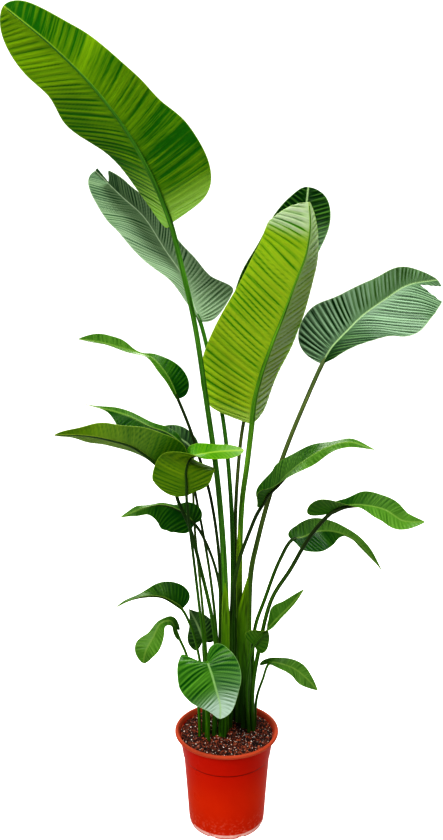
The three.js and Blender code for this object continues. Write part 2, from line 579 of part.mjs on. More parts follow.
// A body turned about +Z from its profile of [radius, height] points.
function turned(profile, sides) {
  const geometry = new THREE.LatheGeometry(profile.map(([r, z]) => new THREE.Vector2(r, z)), sides);
  return geometry.rotateX(Math.PI / 2);
}

function aroundRing(count, make) {
  return Array.from({ length: count }, (_, k) => make((2 * Math.PI * (k + 0.5)) / count));
}

function potSolid() {
  const inside = (z) => [wallRadius(z) - POT_WALL, z];
  const profile = [
    [0, 0],
    [CENTRE_PAD_RADIUS, 0],
    [CENTRE_PAD_RADIUS + PAD_SLOPE, FLOOR_RECESS],
    [FOOT_RADIUS - FOOT_RING_WIDTH - 1, FLOOR_RECESS],
    [FOOT_RADIUS - FOOT_RING_WIDTH, 0],
    [FOOT_RADIUS, 0],
    [wallRadius(FOOT_BAND_TOP) + FOOT_BAND, FOOT_BAND_TOP],
    [wallRadius(90), 90],
    [BODY_TOP_RADIUS, COLLAR_BOTTOM - 1.5],
    [wallRadius(COLLAR_BOTTOM), COLLAR_BOTTOM],
    [wallRadius(LIP_BOTTOM - 2), LIP_BOTTOM - 2],
    [RIM_RADIUS - 2.5, LIP_BOTTOM],
    [RIM_RADIUS, LIP_BOTTOM + 3],
    [RIM_RADIUS - 0.4, POT_HEIGHT - 2],
    [RIM_RADIUS - 3, POT_HEIGHT],
    [RIM_RADIUS - 7, POT_HEIGHT - 0.8],
    [RIM_RADIUS - 9.5, POT_HEIGHT - 4],
    inside(LIP_BOTTOM - 4),
    inside(COLLAR_BOTTOM + 1),
    inside(COLLAR_BOTTOM - 3),
    inside(FLOOR_TOP + 3),
    [wallRadius(FLOOR_TOP) - POT_WALL - 3, FLOOR_TOP],
    [0, FLOOR_TOP],
  ];
  const drains = aroundRing(DRAIN_HOLES, (turn) => solid(
    new THREE.CylinderGeometry(DRAIN_HOLE_RADIUS, DRAIN_HOLE_RADIUS, 4 * FLOOR_THICKNESS, 6)
      .rotateX(Math.PI / 2)
      .translate(DRAIN_CIRCLE_RADIUS * Math.cos(turn), DRAIN_CIRCLE_RADIUS * Math.sin(turn), FLOOR_RECESS),
  ));
  const notches = aroundRing(FOOT_NOTCHES, (turn) => solid(
    new THREE.BoxGeometry(5 * FOOT_RING_WIDTH, NOTCH_WIDTH, 2 * NOTCH_HEIGHT)
      .translate(FOOT_RADIUS, 0, 0)
      .rotateZ(turn),
  ));
  const body = solid(turned(profile, POT_SIDES));
  return [...drains, ...notches].reduce((cut, tool) => cut.subtract(tool), body);
}

// ---- soil ---------------------------------------------------------------------------------

// Potting mix: lumpy on top, a little higher round the plant's foot and low at the wall.
const soilRelief = (x, y) => 1.2 * Math.sin(x / 17 + 0.6) * Math.cos(y / 14 - 0.3)
  + 0.8 * Math.sin((x + y) / 8.5)
  + 2 * Math.exp(-(x * x + y * y) / 4200);

function soilSolid(holes) {
  const outer = (z) => wallRadius(z) - POT_WALL - SOIL_GAP;
  const bottom = FLOOR_TOP + SOIL_GAP;
  const topRadius = outer(SOIL_TOP);
  const profile = [
    [0, bottom],
    [outer(bottom) - 4, bottom],
    [outer(bottom + 6), bottom + 6],
    [outer(COLLAR_BOTTOM - 4), COLLAR_BOTTOM - 4],
    [outer(COLLAR_BOTTOM - 2), COLLAR_BOTTOM + 4],
    [outer(SOIL_TOP - 5), SOIL_TOP - 5],
    ...[0.97, 0.84, 0.68, 0.5, 0.3].map((share) => [topRadius * share, SOIL_TOP]),
    [0, SOIL_TOP],
  ];
  const geometry = turned(profile, POT_SIDES);
  const position = geometry.getAttribute('position');
  for (let i = 0; i < position.count; i += 1) {
    const z = position.getZ(i);
    if (z > SOIL_TOP - 1) position.setZ(i, z + soilRelief(position.getX(i), position.getY(i)));
  }
  return holes.reduce((body, hole) => body.subtract(hole), solid(geometry));
}

// ---- the plant in its pot -----------------------------------------------------------------

const plant = new THREE.Group();
plant.name = 'potted_bird_of_paradise';

plant.add(piece('pot', potSolid(), 0xc62c10, 0.35));
plant.add(piece('soil', soilSolid(LEAVES.map(stemHole)), 0x3b241a, 0.95));
for (const leaf of LEAVES) plant.add(piece(leaf.name, leafSolid(leaf), leaf.color, 0.45));

export default plant;
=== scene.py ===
# %% [markdown]
# # A potted bird of paradise
#
# This lesson dresses a plain CAD model of a tall house plant: twenty leaves on long stalks that
# stand in potting mix, in an orange-red nursery pot. The CAD model stays as a fixed frame. It says
# where everything is and how large it is. Here each plain solid is covered by a finer piece with
# the same form: pleated blades, channelled stalks, loose bark and perlite, a moulded pot.
#
# Everything is in metres, with +Z up and the origin under the middle of the pot. The plant's own
# sizes are written in millimetres, as in the CAD model, and `new_object` turns them into metres.

import math

import bmesh
import bpy
import numpy as np
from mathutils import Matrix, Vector


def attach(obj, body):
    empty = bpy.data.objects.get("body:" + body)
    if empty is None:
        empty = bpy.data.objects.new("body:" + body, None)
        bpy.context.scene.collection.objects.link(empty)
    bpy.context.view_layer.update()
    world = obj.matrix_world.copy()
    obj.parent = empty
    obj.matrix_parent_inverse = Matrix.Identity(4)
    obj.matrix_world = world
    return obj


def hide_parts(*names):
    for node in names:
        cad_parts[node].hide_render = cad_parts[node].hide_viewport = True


MM = 0.001
SEED = 7

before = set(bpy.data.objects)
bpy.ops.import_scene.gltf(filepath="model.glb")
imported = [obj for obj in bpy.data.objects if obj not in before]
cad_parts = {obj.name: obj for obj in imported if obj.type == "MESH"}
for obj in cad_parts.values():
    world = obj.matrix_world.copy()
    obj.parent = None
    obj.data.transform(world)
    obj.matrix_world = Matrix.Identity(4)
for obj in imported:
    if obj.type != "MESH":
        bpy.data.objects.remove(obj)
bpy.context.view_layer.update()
print("nodes in the frame:", len(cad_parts))

# %% [markdown]
# ## The camera
#
# The photograph was taken from 1.8 m in front of the plant, at the height of its middle leaves,
# looking 10 degrees down. A 36 mm lens on a sensor whose long side is 36 mm frames it. Fitting the
# ellipses of the pot's rim and foot gave these numbers. A camera with no turn looks straight down,
# so it is turned up by 90 degrees less the tilt. The view needs no lens shift.

# %% Camera
LENS = 36
SENSOR = 36
VIEWPOINT = (-0.012, -1.8, 1.27)
TILT_DOWN = 10

camera_data = bpy.data.cameras.new("camera")
camera_data.sensor_fit = "VERTICAL"
camera_data.sensor_height = SENSOR
camera_data.lens = LENS
camera = bpy.data.objects.new("camera", camera_data)
camera.location = VIEWPOINT
camera.rotation_euler = (math.radians(90 - TILT_DOWN), 0, 0)
bpy.context.scene.collection.objects.link(camera)
bpy.context.scene.camera = camera
print("camera at", tuple(camera.location))

# %% [markdown]
# ## Wrapping sockets
#
# A material is a graph of nodes, and graphs are tedious to write link by link. One small class
# wraps an output socket and gives it Python's operators, so that `1 - mask` adds the Subtract node
# and its links. Any other node comes from `add`, which takes the node's type, its settings and the
# values or links of its sockets. The settings come first, because they can change which sockets a
# node has. The same class serves materials and geometry, as the Math nodes are the same in both.

# %% A socket with operators
class Link:
    """An output socket of a node tree, for use in expressions."""

    def __init__(self, tree, socket=None):
        self.tree = tree
        self.socket = socket

    def add(self, kind, settings=None, values=None, out=0):
        node = self.tree.nodes.new(kind)
        for name, value in (settings or {}).items():
            setattr(node, name, value)
        for key, value in (values or {}).items():
            if isinstance(value, Link):
                self.tree.links.new(value.socket, node.inputs[key])
            else:
                node.inputs[key].default_value = value
        return Link(self.tree, node.outputs[out])

    def math(self, operation, *values):
        return self.add("ShaderNodeMath", {"operation": operation}, dict(enumerate(values)))

    def clamp(self):
        return self.add("ShaderNodeClamp", None, {0: self})

    def smooth(self, low, high):
        """0 below low, 1 above high, and a smooth rise between them."""
        settings = {"interpolation_type": "SMOOTHSTEP"}
        return self.add("ShaderNodeMapRange", settings, {0: self, 1: low, 2: high})

    def vector(self, operation, *values):
        return self.add("ShaderNodeVectorMath", {"operation": operation}, dict(enumerate(values)))

    def __add__(self, other):
        return self.math("ADD", self, other)

    def __radd__(self, other):
        return self.math("ADD", other, self)

    def __sub__(self, other):
        return self.math("SUBTRACT", self, other)

    def __rsub__(self, other):
        return self.math("SUBTRACT", other, self)

    def __mul__(self, other):
        return self.math("MULTIPLY", self, other)

    def __rmul__(self, other):
        return self.math("MULTIPLY", other, self)

    def __truediv__(self, other):
        return self.math("DIVIDE", self, other)


def paint(red, green, blue):
    """A colour as seen on a screen, 0 to 255, as the linear numbers that a shader wants."""
    return tuple(
        v / 255 / 12.92 if v <= 10 else ((v / 255 + 0.055) / 1.055) ** 2.4 for v in (red, green, blue)
    )


print("leaf green, linear:", [round(v, 3) for v in paint(70, 130, 30)])

# %% [markdown]
# A few helpers for materials. `mix` blends two colours in a Mix node, since a Math node would turn
# them grey. `noise` is Blender's fractal noise. `combine` makes a vector from three numbers, which
# is how a pattern is stretched along a vein or a stalk: the number that runs along it is made
# small. `in_place` gives Object coordinates, which stay put when the view moves.

# %% Material helpers
def mix(factor, one, two, blend="MIX"):
    """Colour one at factor 0 and colour two at factor 1. A Mix node's sockets 6 and 7 are colours."""
    link = next(v for v in (factor, one, two) if isinstance(v, Link))
    one, two = [v if isinstance(v, Link) else (*v, 1) for v in (one, two)]
    return link.add("ShaderNodeMix", {"data_type": "RGBA", "blend_type": blend},
                    {0: factor, 6: one, 7: two}, 2)


def noise(vector, scale, detail=2.0, rough=0.5):
    return vector.add("ShaderNodeTexNoise", None,
                      {"Vector": vector, "Scale": scale, "Detail": detail, "Roughness": rough})


def combine(x, y, z):
    link = next(v for v in (x, y, z) if isinstance(v, Link))
    return link.add("ShaderNodeCombineXYZ", None, {0: x, 1: y, 2: z})


def bump(height, distance, strength=1.0):
    return height.add("ShaderNodeBump", None,
                      {"Height": height, "Distance": distance, "Strength": strength})


def new_material(name):
    """An empty material: its output node and a Link to start from."""
    material = bpy.data.materials.new(name)
    material.use_nodes = True
    material.node_tree.nodes.clear()
    output = material.node_tree.nodes.new("ShaderNodeOutputMaterial")
    return material, output, Link(material.node_tree)


def surface(start, output, values, through=None, share=0.0):
    """The Principled shader, alone or mixed with light that comes through the leaf."""
    shader = start.add("ShaderNodeBsdfPrincipled", None, values)
    if through:
        glow = start.add("ShaderNodeBsdfTranslucent", None, {"Color": (*through, 1)})
        shader = start.add("ShaderNodeMixShader", None, {0: share, 1: shader, 2: glow})
    start.tree.links.new(shader.socket, output.inputs["Surface"])


def attribute(start, name, out=2):
    """A value stored on the mesh: out 2 is a number, out 1 a vector."""
    return start.add("ShaderNodeAttribute", {"attribute_name": name}, None, out)


def in_place(start):
    return start.add("ShaderNodeTexCoord", None, None, 3)


print("material helpers ready")

# %% [markdown]
# ## Geometry Nodes from Python
#
# What repeats or follows a path is made by Geometry Nodes: pleats, stalks, drainage holes and the
# grains on the soil. `open_tree` starts a tree with one named input for each size, and `close_tree`
# ends it with Realize Instances and Set Material, because instances don't survive an export. `grow`
# runs a tree on an object. The inputs are set by identifier before anything is evaluated, the
# result becomes a plain mesh, and the modifier goes.

# %% Geometry helpers
SOCKETS = {float: "NodeSocketFloat", int: "NodeSocketInt", str: "NodeSocketMaterial"}


def open_tree(name, **sizes):
    """A geometry tree: a Link to start from, its inputs by name, and its output node."""
    tree = bpy.data.node_groups.new(name, "GeometryNodeTree")
    tree.interface.new_socket("Geometry", in_out="INPUT", socket_type="NodeSocketGeometry")
    for label, value in {**sizes, "material": ""}.items():
        socket = tree.interface.new_socket(label, in_out="INPUT", socket_type=SOCKETS[type(value)])
        if not isinstance(value, str):
            socket.default_value = value
    tree.interface.new_socket("Geometry", in_out="OUTPUT", socket_type="NodeSocketGeometry")
    group = tree.nodes.new("NodeGroupInput")
    inputs = {socket.name: Link(tree, socket) for socket in group.outputs if socket.name}
    return tree, Link(tree), inputs


def close_tree(tree, geometry, inputs):
    real = geometry.add("GeometryNodeRealizeInstances", None, {0: geometry})
    dressed = real.add("GeometryNodeSetMaterial", None,
                       {"Geometry": real, "Material": inputs["material"]})
    output = tree.nodes.new("NodeGroupOutput")
    tree.links.new(dressed.socket, output.inputs[0])
    return tree


def plain(thing):
    """Replaces an object's mesh by what its modifiers make of it, and removes them."""
    graph = bpy.context.evaluated_depsgraph_get()
    mesh = bpy.data.meshes.new_from_object(thing.evaluated_get(graph))
    thing.modifiers.clear()
    thing.data = mesh
    return thing


def grow(thing, tree, **sizes):
    """Runs a tree on an object, with these values for its named inputs."""
    modifier = thing.modifiers.new(tree.name, "NODES")
    modifier.node_group = tree
    for item in tree.interface.items_tree:
        if item.in_out == "INPUT" and item.name in sizes:
            modifier[item.identifier] = sizes[item.name]
    return plain(thing)


def stored(start, name, kind="FLOAT"):
    """A value that the mesh carries on its points, for a geometry tree."""
    return start.add("GeometryNodeInputNamedAttribute", {"data_type": kind}, {"Name": name})


def new_object(name, points, faces=(), edges=(), **values):
    """A mesh object from points in millimetres, with numbers or vectors stored on its points."""
    mesh = bpy.data.meshes.new(name)
    mesh.from_pydata((np.asarray(points) * MM).tolist(), edges, faces)
    for label, data in values.items():
        data = np.asarray(data, float)
        kind = "FLOAT_VECTOR" if data.ndim == 2 else "FLOAT"
        field = "vector" if data.ndim == 2 else "value"
        mesh.attributes.new(label, kind, "POINT").data.foreach_set(field, data.ravel())
    thing = bpy.data.objects.new(name, mesh)
    bpy.context.scene.collection.objects.link(thing)
    return thing


def joined(first, *others):
    """One object from several, each with its own materials."""
    parts = [first, *others]
    with bpy.context.temp_override(active_object=first, object=first, selected_objects=parts,
                                   selected_editable_objects=parts):
        bpy.ops.object.join()
    return first


print("geometry helpers ready")

# %% [markdown]
# ## The leaves' table
#
# Every leaf of this plant has the same make: a stalk, a midrib that carries on from it, and a blade
# in two halves. Each could be modelled by hand, but what differs is only the path and the shape, so
# the plant is a table. The three kinds of leaf set how fine the mesh is (`rows`, `columns`), how
# quickly the blade widens at its `base`, how far apart and how high its pleats are (`pitch`,
# `pleat`), and how much the side veins `slant` forward on each half.

# %% Kinds of leaf
SLANT = (0.35, 0.35)
FULL_DEPTH = (1.0, 1.0)
SHARED = {"base": 9, "slant": SLANT, "depths": FULL_DEPTH}
CROWN = {**SHARED, "rows": 230, "columns": 34, "pitch": 12.0, "pleat": 1.1}
MIDDLE = {**SHARED, "rows": 130, "columns": 16, "pitch": 9.0, "pleat": 0.6}
LOW = {**SHARED, "rows": 100, "columns": 14, "pitch": 9.0, "pleat": 0.5}


def half(widths, tip, fold, lobe):
    return {"widths": widths, "tip": tip, "fold": fold, "lobe": lobe}


def leaf(name, kind, foot, radii, sweep, wave, stem, rib, faces, left, right, **more):
    return {**kind, "name": name, "foot": foot, "radii": radii, "sweep": sweep, "wave": wave,
            "stem": stem, "rib": rib, "faces": faces, "sides": {-1: left, 1: right}, **more}


print("pleats of a crown leaf are", CROWN["pitch"], "mm apart")

# %% [markdown]
# The rows of the table are the CAD model's own numbers, in millimetres. `foot` is where the stalk
# stands, `radii` are its radius there and at the neck, and `stem` and `rib` are points that the
# curve passes through. `faces` says which way the upper side looks. Each half has its widths from
# base to tip, the shape of its tip, how far it folds up, and how far its lobe reaches back past the
# neck. `sweep` pulls the side veins towards the tip, and `wave` ripples the margin.
#
# One number differs from the CAD model. The back leaf's right half folds 10 degrees less at its
# base, so that its pleated margin stays clear of the leaf in front.

# %% Crown leaves
CROWN_LEAVES = [
    leaf("leaf_crown_left", CROWN, (-12, -20), (10.5, 5.2), 0.3, (4, 3, 0.1),
         [(-2, -20, 430), (-4, -25, 575), (-10, -30, 700), (-22, -40, 840), (-44, -55, 1005),
          (-67, -70, 1165), (-91, -80, 1275), (-113, -90, 1365)],
         [(-135, -110, 1425), (-180, -150, 1515), (-240, -195, 1595), (-310, -240, 1660),
          (-380, -285, 1711)],
         [(0.1, 1, 0.1), (0.3, 1, 0.2), (0.3, 1, 0.4)],
         half([105, 114, 114, 105, 84, 80, 75, 72, 71, 80, 100], (3.5, 0.6), [0, 25, 50], -8),
         half([90, 80, 89, 112, 95, 110, 125], (3.5, 0.6), [62, 15, 0], 16),
         look="young", pleat=1.0, slant=(0.15, 0.5), depths=(0.45, 1.0),
         sheath={"out": (-0.35, -1), "rows": [(-12, -24, 180, 10.5), (-8, -25, 300, 10.5),
                 (-4, -26, 430, 10.5), (-3, -28, 505, 10), (-4, -30, 555, 7), (-4, -33, 592, 0.8)]}),
    leaf("leaf_crown_back_left", CROWN, (8, 52), (8, 4.5), 0.1, (2, 3, 0.3),
         [(12, 52, 395), (14, 55, 615), (8, 60, 780), (-10, 75, 950), (-45, 90, 1105), (-60, 95, 1160)],
         [(-75, 105, 1195), (-100, 120, 1260), (-140, 140, 1320), (-190, 165, 1395),
          (-240, 185, 1440), (-303, 210, 1500)],
         [(0.3, -1, 0.1), (0.2, -1, 0.2), (0.3, -1, 0.3)],
         half([60, 45, 60, 77, 86, 79, 85], (6, 0.5), [75, 30, 20, 20], 5),
         half([70, 105, 58, 50, 55, 66, 64, 62, 62, 56, 50], (6, 0.5), [0, 25, 62, 74, 76, 74], 10),
         look="grey", pitch=10.0, slant=(1.1, 0.4), tear=(1, (0.9, 0.1), (0.92, 0.996))),
    leaf("leaf_crown_front", CROWN, (28, 42), (8.5, 6), 0.3, (3, 3, 0.6),
         [(30, 40, 425), (30, 40, 645), (35, 35, 765), (45, 30, 845), (55, 20, 940)],
         [(60, 15, 990), (75, 5, 1055), (100, -10, 1130), (120, -25, 1185), (140, -40, 1245),
          (160, -60, 1305), (165, -85, 1360), (160, -105, 1405)],
         [(0.1, 1, 0.1), (0.1, 1, 0.1), (0.2, 1, 0.3)],
         half([60, 68, 93, 93, 83, 55, 37], (4, 0.6), [60, 62, 68], -5),
         half([120, 134, 128, 114, 104, 104, 120], (8, 0.5), [5, 5, 0], -5),
         look="sunlit", pitch=14.0, pleat=2.2, slant=(0.3, 0.3),
         sheath={"out": (-0.2, -1), "rows": [(28, 36, 480, 7), (28, 35, 600, 6.5), (28, 34, 660, 5),
                 (27, 33, 705, 0.8)]}),
    leaf("leaf_crown_back", CROWN, (24, 64), (8, 4), 0.3, (4, 3, 0.4),
         [(22, 64, 415), (20, 67, 705), (25, 70, 815), (35, 75, 915), (50, 80, 985)],
         [(80, 85, 1095), (120, 95, 1210), (155, 105, 1330), (175, 115, 1415), (180, 120, 1455)],
         [(0.1, -1, 0.1), (0.1, -1, 0.2), (0.1, -1, 0.3)],
         half([80, 100, 110, 112, 95, 84, 68], (5, 0.5), [20, 20, 10], 15),
         half([45, 45, 45, 47, 53, 78, 100], (5, 0.5), [20, 25, 10], 15),
         look="dark"),
    leaf("leaf_crown_right", CROWN, (48, 20), (10, 4.8), 0.3, (4, 3, 0.2),
         [(50, 25, 430), (55, 25, 595), (70, 30, 670), (95, 30, 770), (135, 35, 890),
          (175, 40, 990), (210, 45, 1070)],
         [(230, 50, 1105), (270, 70, 1145), (305, 95, 1175), (360, 125, 1210), (415, 155, 1240),
          (494, 196, 1252)],
         [(-0.2, -1, 0.5), (-0.1, -1, 0.6), (-0.1, -1, 0.9)],
         half([84, 96, 70, 66, 62, 54, 38], (4, 0.8), [20, 50, 55], 3),
         half([25, 48, 88, 114, 103, 92, 80], (9, 0.5), [35, 5, 0], -5),
         look="dark", slant=(0.1, 0.8), tear=(1, (0.85, 0.1), (0.915, 0.996)),
         sheath={"out": (0.3, -1), "rows": [(46, 15, 180, 12), (43, 15, 300, 13), (39, 16, 400, 15),
                 (37, 17, 490, 15), (43, 19, 545, 8.5), (49, 21, 588, 0.8)]}),
]
print("crown leaves:", len(CROWN_LEAVES))

# %% [markdown]
# The middle leaves are smaller and older, on stalks that fan out to both sides. Some are folded or
# twisted, so that part of the pale underside shows.

# %% Middle leaves
MIDDLE_LEAVES = [
    leaf("leaf_mid_left_upper", MIDDLE, (-14, 2), (6, 3.2), 0.3, (2, 3, 0.1),
         [(-15, -7, 420), (-17, -14, 640), (-35, -20, 780), (-50, -25, 840), (-80, -30, 940),
          (-105, -35, 1005)],
         [(-125, -30, 1050), (-160, -20, 1090), (-190, -10, 1100), (-230, 5, 1110), (-275, 20, 1120),
          (-325, 40, 1125)],
         [(0.4, -0.5, 1), (0.2, -0.5, 1), (0.1, -0.8, 1)],
         half([12, 20, 14, 18, 14], (3, 0.7), [15, 15, 30], 5),
         half([50, 43, 18, 5, 28, 42, 42], (3, 0.7), [10, 20, 10], 5), look="green"),
    leaf("leaf_mid_left_back", MIDDLE, (-28, 6), (5, 3), 0.3, (2, 2, 0.4),
         [(-22, 10, 420), (-37, 18, 585), (-52, 25, 680), (-67, 30, 760), (-78, 30, 825),
          (-90, 25, 880)],
         [(-110, 22, 905), (-135, 30, 920), (-170, 40, 930), (-225, 50, 955), (-318, 70, 976)],
         [(0.3, 0.3, 1), (0.1, -0.6, 1), (0, -0.2, 1)],
         half([50, 45, 50, 42, 9, 8], (3, 0.7), [-40, -40, 0], 15),
         half([18, 14, 16, 15, 10], (3, 0.7), [30, 10, 10], 5), look="green"),
    leaf("leaf_mid_left_long", MIDDLE, (-30, -16), (6, 3.8), 0.3, (2.5, 3, 0.2),
         [(-25, -28, 430), (-34, -34, 515), (-60, -45, 640), (-80, -55, 725), (-105, -65, 790),
          (-115, -70, 835)],
         [(-140, -80, 865), (-165, -90, 890), (-195, -105, 915), (-230, -120, 930), (-285, -140, 945),
          (-345, -160, 950)],
         [(0.1, 1, 0.6), (0.1, 1, 0.6), (0.1, 0.8, 1)],
         half([60, 75, 57, 44, 39, 31, 30], (3, 0.7), [10, 20, 35, 40], 5),
         half([30, 25, 30, 43, 50, 48, 48], (3, 0.7), [50, 25, 15], -5), look="bright"),
    leaf("leaf_mid_left_small", LOW, (-40, -4), (4.2, 2.8), 0.3, (1, 2, 0),
         [(-47, 4, 400), (-55, 20, 508), (-64, 36, 598), (-73, 52, 688), (-77, 66, 780),
          (-78, 70, 856)],
         [(-84, 72, 879), (-104, 74, 895), (-134, 78, 908), (-161, 82, 917)],
         [(0.2, -1, 0.4), (0, -1, 0.5)],
         half([18, 30, 30, 20], (3, 0.7), [20, 20], 5),
         half([12, 26, 30, 22], (3, 0.7), [10, 10], 5), look="dark"),
    leaf("leaf_mid_front_folded", MIDDLE, (-46, -20), (5, 3), 0.3, (1.5, 2, 0.3),
         [(-48, -40, 415), (-60, -55, 540), (-75, -80, 695), (-84, -98, 785), (-85, -102, 810)],
         [(-85, -107, 835), (-85, -110, 870), (-75, -106, 893), (-44, -99, 900), (-5, -92, 903),
          (35, -82, 903)],
         [(0, 1, 0), (0, 1, 0.4), (0, -0.2, 1), (0, -0.7, 1), (0, -0.7, 1)],
         half([40, 56, 62, 42, 28, 26, 26], (3, 0.6), [10, 10, 10], -5),
         half([62, 74, 60, 32, 30, 34, 32], (3, 0.6), [10, 10, -10], 5), look="bright"),
    leaf("leaf_mid_left_lower", MIDDLE, (2, -6), (5, 3.2), 0.3, (2, 3, 0.5),
         [(-3, 1, 425), (-20, 2, 590), (-40, -4, 660), (-60, -11, 705), (-72, -14, 723)],
         [(-87, -15, 742), (-112, -15, 758), (-145, -10, 765), (-190, -10, 755), (-235, -5, 735)],
         [(0.2, -0.5, 1), (0.1, -0.5, 1), (0, -0.5, 1)],
         half([50, 54, 57, 46, 20, 18, 12], (3, 0.7), [-50, -60, -20], 10),
         half([60, 41, 12, 6, 16, 28, 32], (3, 0.7), [0, -10, -10], 10), look="green"),
    leaf("leaf_mid_right_arching", MIDDLE, (8, 14), (6, 4), 0.3, (2, 3, 0.7),
         [(9, 7, 390), (11, -4, 525), (25, -15, 630), (50, -28, 710), (65, -34, 750), (75, -40, 770)],
         [(85, -45, 795), (105, -60, 820), (130, -80, 854), (165, -105, 890), (205, -130, 920),
          (245, -155, 935), (290, -180, 925)],
         [(-0.3, -0.6, 1), (-0.1, -0.5, 1), (0.1, -0.4, 1)],
         half([28, 52, 54, 44, 30, 25, 25], (3, 0.8), [10, 0, -5], 0),
         half([30, 40, 35, 30, 20], (3, 0.8), [80, 0, -20], 5), look="green"),
    leaf("leaf_mid_right_twisted", MIDDLE, (64, 11), (6, 4.3), 0.3, (1.5, 2, 0.2),
         [(59, -4, 315), (72, -12, 420), (100, -22, 550), (140, -35, 625), (175, -45, 695),
          (203, -55, 738), (222, -61, 760)],
         [(233, -66, 770), (252, -73, 780), (285, -85, 785), (330, -105, 780), (365, -120, 761),
          (405, -140, 765)],
         [(0, 1, 0.4), (-0.1, -0.1, 1), (0, -0.6, 1), (0, -0.6, 1)],
         half([40, 20, 34, 32, 34, 32, 20], (3, 0.7), [85, 30, 20], 5),
         half([74, 36, 24, 42, 45, 48, 44], (4, 0.6), [0, 10, 20], 36), base=12, look="green"),
    leaf("leaf_mid_right_drooping", MIDDLE, (60, 36), (5.8, 4), 0.3, (1.5, 2, 0.6),
         [(60, 42, 330), (66, 40, 455), (88, 40, 525), (120, 42, 615), (150, 50, 665)],
         [(175, 55, 670), (210, 65, 680), (250, 80, 675), (295, 90, 655), (330, 100, 620),
          (370, 110, 570)],
         [(-0.1, -0.8, 1), (0, -0.7, 1), (0.3, -0.5, 1)],
         half([38, 40, 25, 22, 12], (3, 0.7), [0, 0, 30], 5),
         half([25, 52, 38, 4, 14, 14, 10], (3, 0.7), [-10, 0, 30], 0), look="green"),
]
print("middle leaves:", len(MIDDLE_LEAVES))

# %% [markdown]
# The lowest leaves are the oldest and smallest. One hangs in front of the others, and its heart
# shape shows the blade's upper side in full.

# %% Low leaves
LOW_LEAVES = [
    leaf("leaf_low_left_upper", LOW, (-54, -4), (4.5, 3), 0.3, (1.5, 2, 0.1),
         [(-54, -8, 325), (-64, -15, 415), (-80, -25, 485), (-100, -30, 530)],
         [(-115, -35, 545), (-145, -45, 565), (-185, -60, 570), (-215, -70, 565), (-240, -80, 555)],
         [(0.2, -0.5, 1), (0.1, -0.5, 1), (0, -0.5, 1)],
         half([8, 9, 8, 8, 6], (3, 0.7), [60, 60, 60], 5),
         half([48, 44, 28, 22, 20], (3, 0.7), [45, 10, -25, -30], 0), look="green"),
    leaf("leaf_low_left_drooping", LOW, (-60, -18), (4.5, 3), 0.3, (1, 2, 0.4),
         [(-68, -26, 330), (-92, -38, 430), (-105, -44, 465), (-115, -50, 495)],
         [(-125, -60, 515), (-145, -75, 515), (-160, -90, 490), (-175, -105, 465),
          (-180, -110, 440)],
         [(0.5, -0.5, 1), (-0.3, -0.8, 0.6), (-0.5, -0.9, 0.3)],
         half([30, 12, 26, 38, 30], (4, 0.6), [10, 10, 20], 26),
         half([25, 8, 14, 34, 32], (4, 0.6), [10, 10, 20], 20), look="green"),
    leaf("leaf_low_back", LOW, (-46, 10), (4.2, 2.6), 0.3, (1, 2, 0.8),
         [(-50, 26, 320), (-55, 36, 405), (-55, 38, 425)],
         [(-60, 40, 440), (-70, 44, 465), (-88, 50, 497)],
         [(0, -1, 0.2), (0.1, -1, 0.2)],
         half([42, 24, 12], (2, 0.8), [0, 0], 22),
         half([38, 38, 22], (2, 0.8), [0, 0], 10), look="dark"),
    leaf("leaf_low_front_heart", LOW, (-38, -34), (4.8, 3), 0.3, (2, 2, 0.2),
         [(-46, -55, 300), (-50, -72, 370), (-50, -90, 420), (-43, -99, 438)],
         [(-39, -107, 431), (-33, -114, 417), (-25, -125, 392), (-15, -130, 355), (-15, -130, 322)],
         [(0.1, -1, 0.6), (0, -1, 0.4)],
         half([66, 62, 46, 36], (3, 0.62), [10, 10], 32),
         half([82, 74, 48, 32], (3, 0.62), [10, 10], 36), base=7, look="glossy", pleat=0.6),
    leaf("leaf_low_right_twisted", LOW, (56, 2), (4.5, 3.2), 0.3, (1, 2, 0.5),
         [(46, -14, 315), (50, -30, 400), (61, -47, 452)],
         [(76, -53, 477), (92, -57, 498), (112, -59, 522), (138, -61, 550), (168, -64, 590)],
         [(0.3, 1, 0.2), (0, -0.6, 1), (0, -0.6, 1)],
         half([45, 24, 12, 30, 25, 20, 15], (3, 0.7), [10, 10], 16),
         half([46, 24, 12, 8, 8, 8, 6], (3, 0.7), [10, 10], 0), look="green"),
    leaf("leaf_low_right_drooping", LOW, (66, 24), (4.5, 2.8), 0.3, (1, 2, 0.3),
         [(70, 24, 285), (84, 22, 335), (100, 15, 380)],
         [(125, 10, 380), (160, 10, 365), (185, 5, 345), (210, 0, 320)],
         [(0, -0.6, 1), (0, -0.6, 1)],
         half([8, 20, 22, 12], (3, 0.7), [10, 10], 28),
         half([8, 22, 32, 22], (3, 0.7), [10, 10], 5), look="green"),
]
LEAVES = CROWN_LEAVES + MIDDLE_LEAVES + LOW_LEAVES
print("leaves in all:", len(LEAVES))
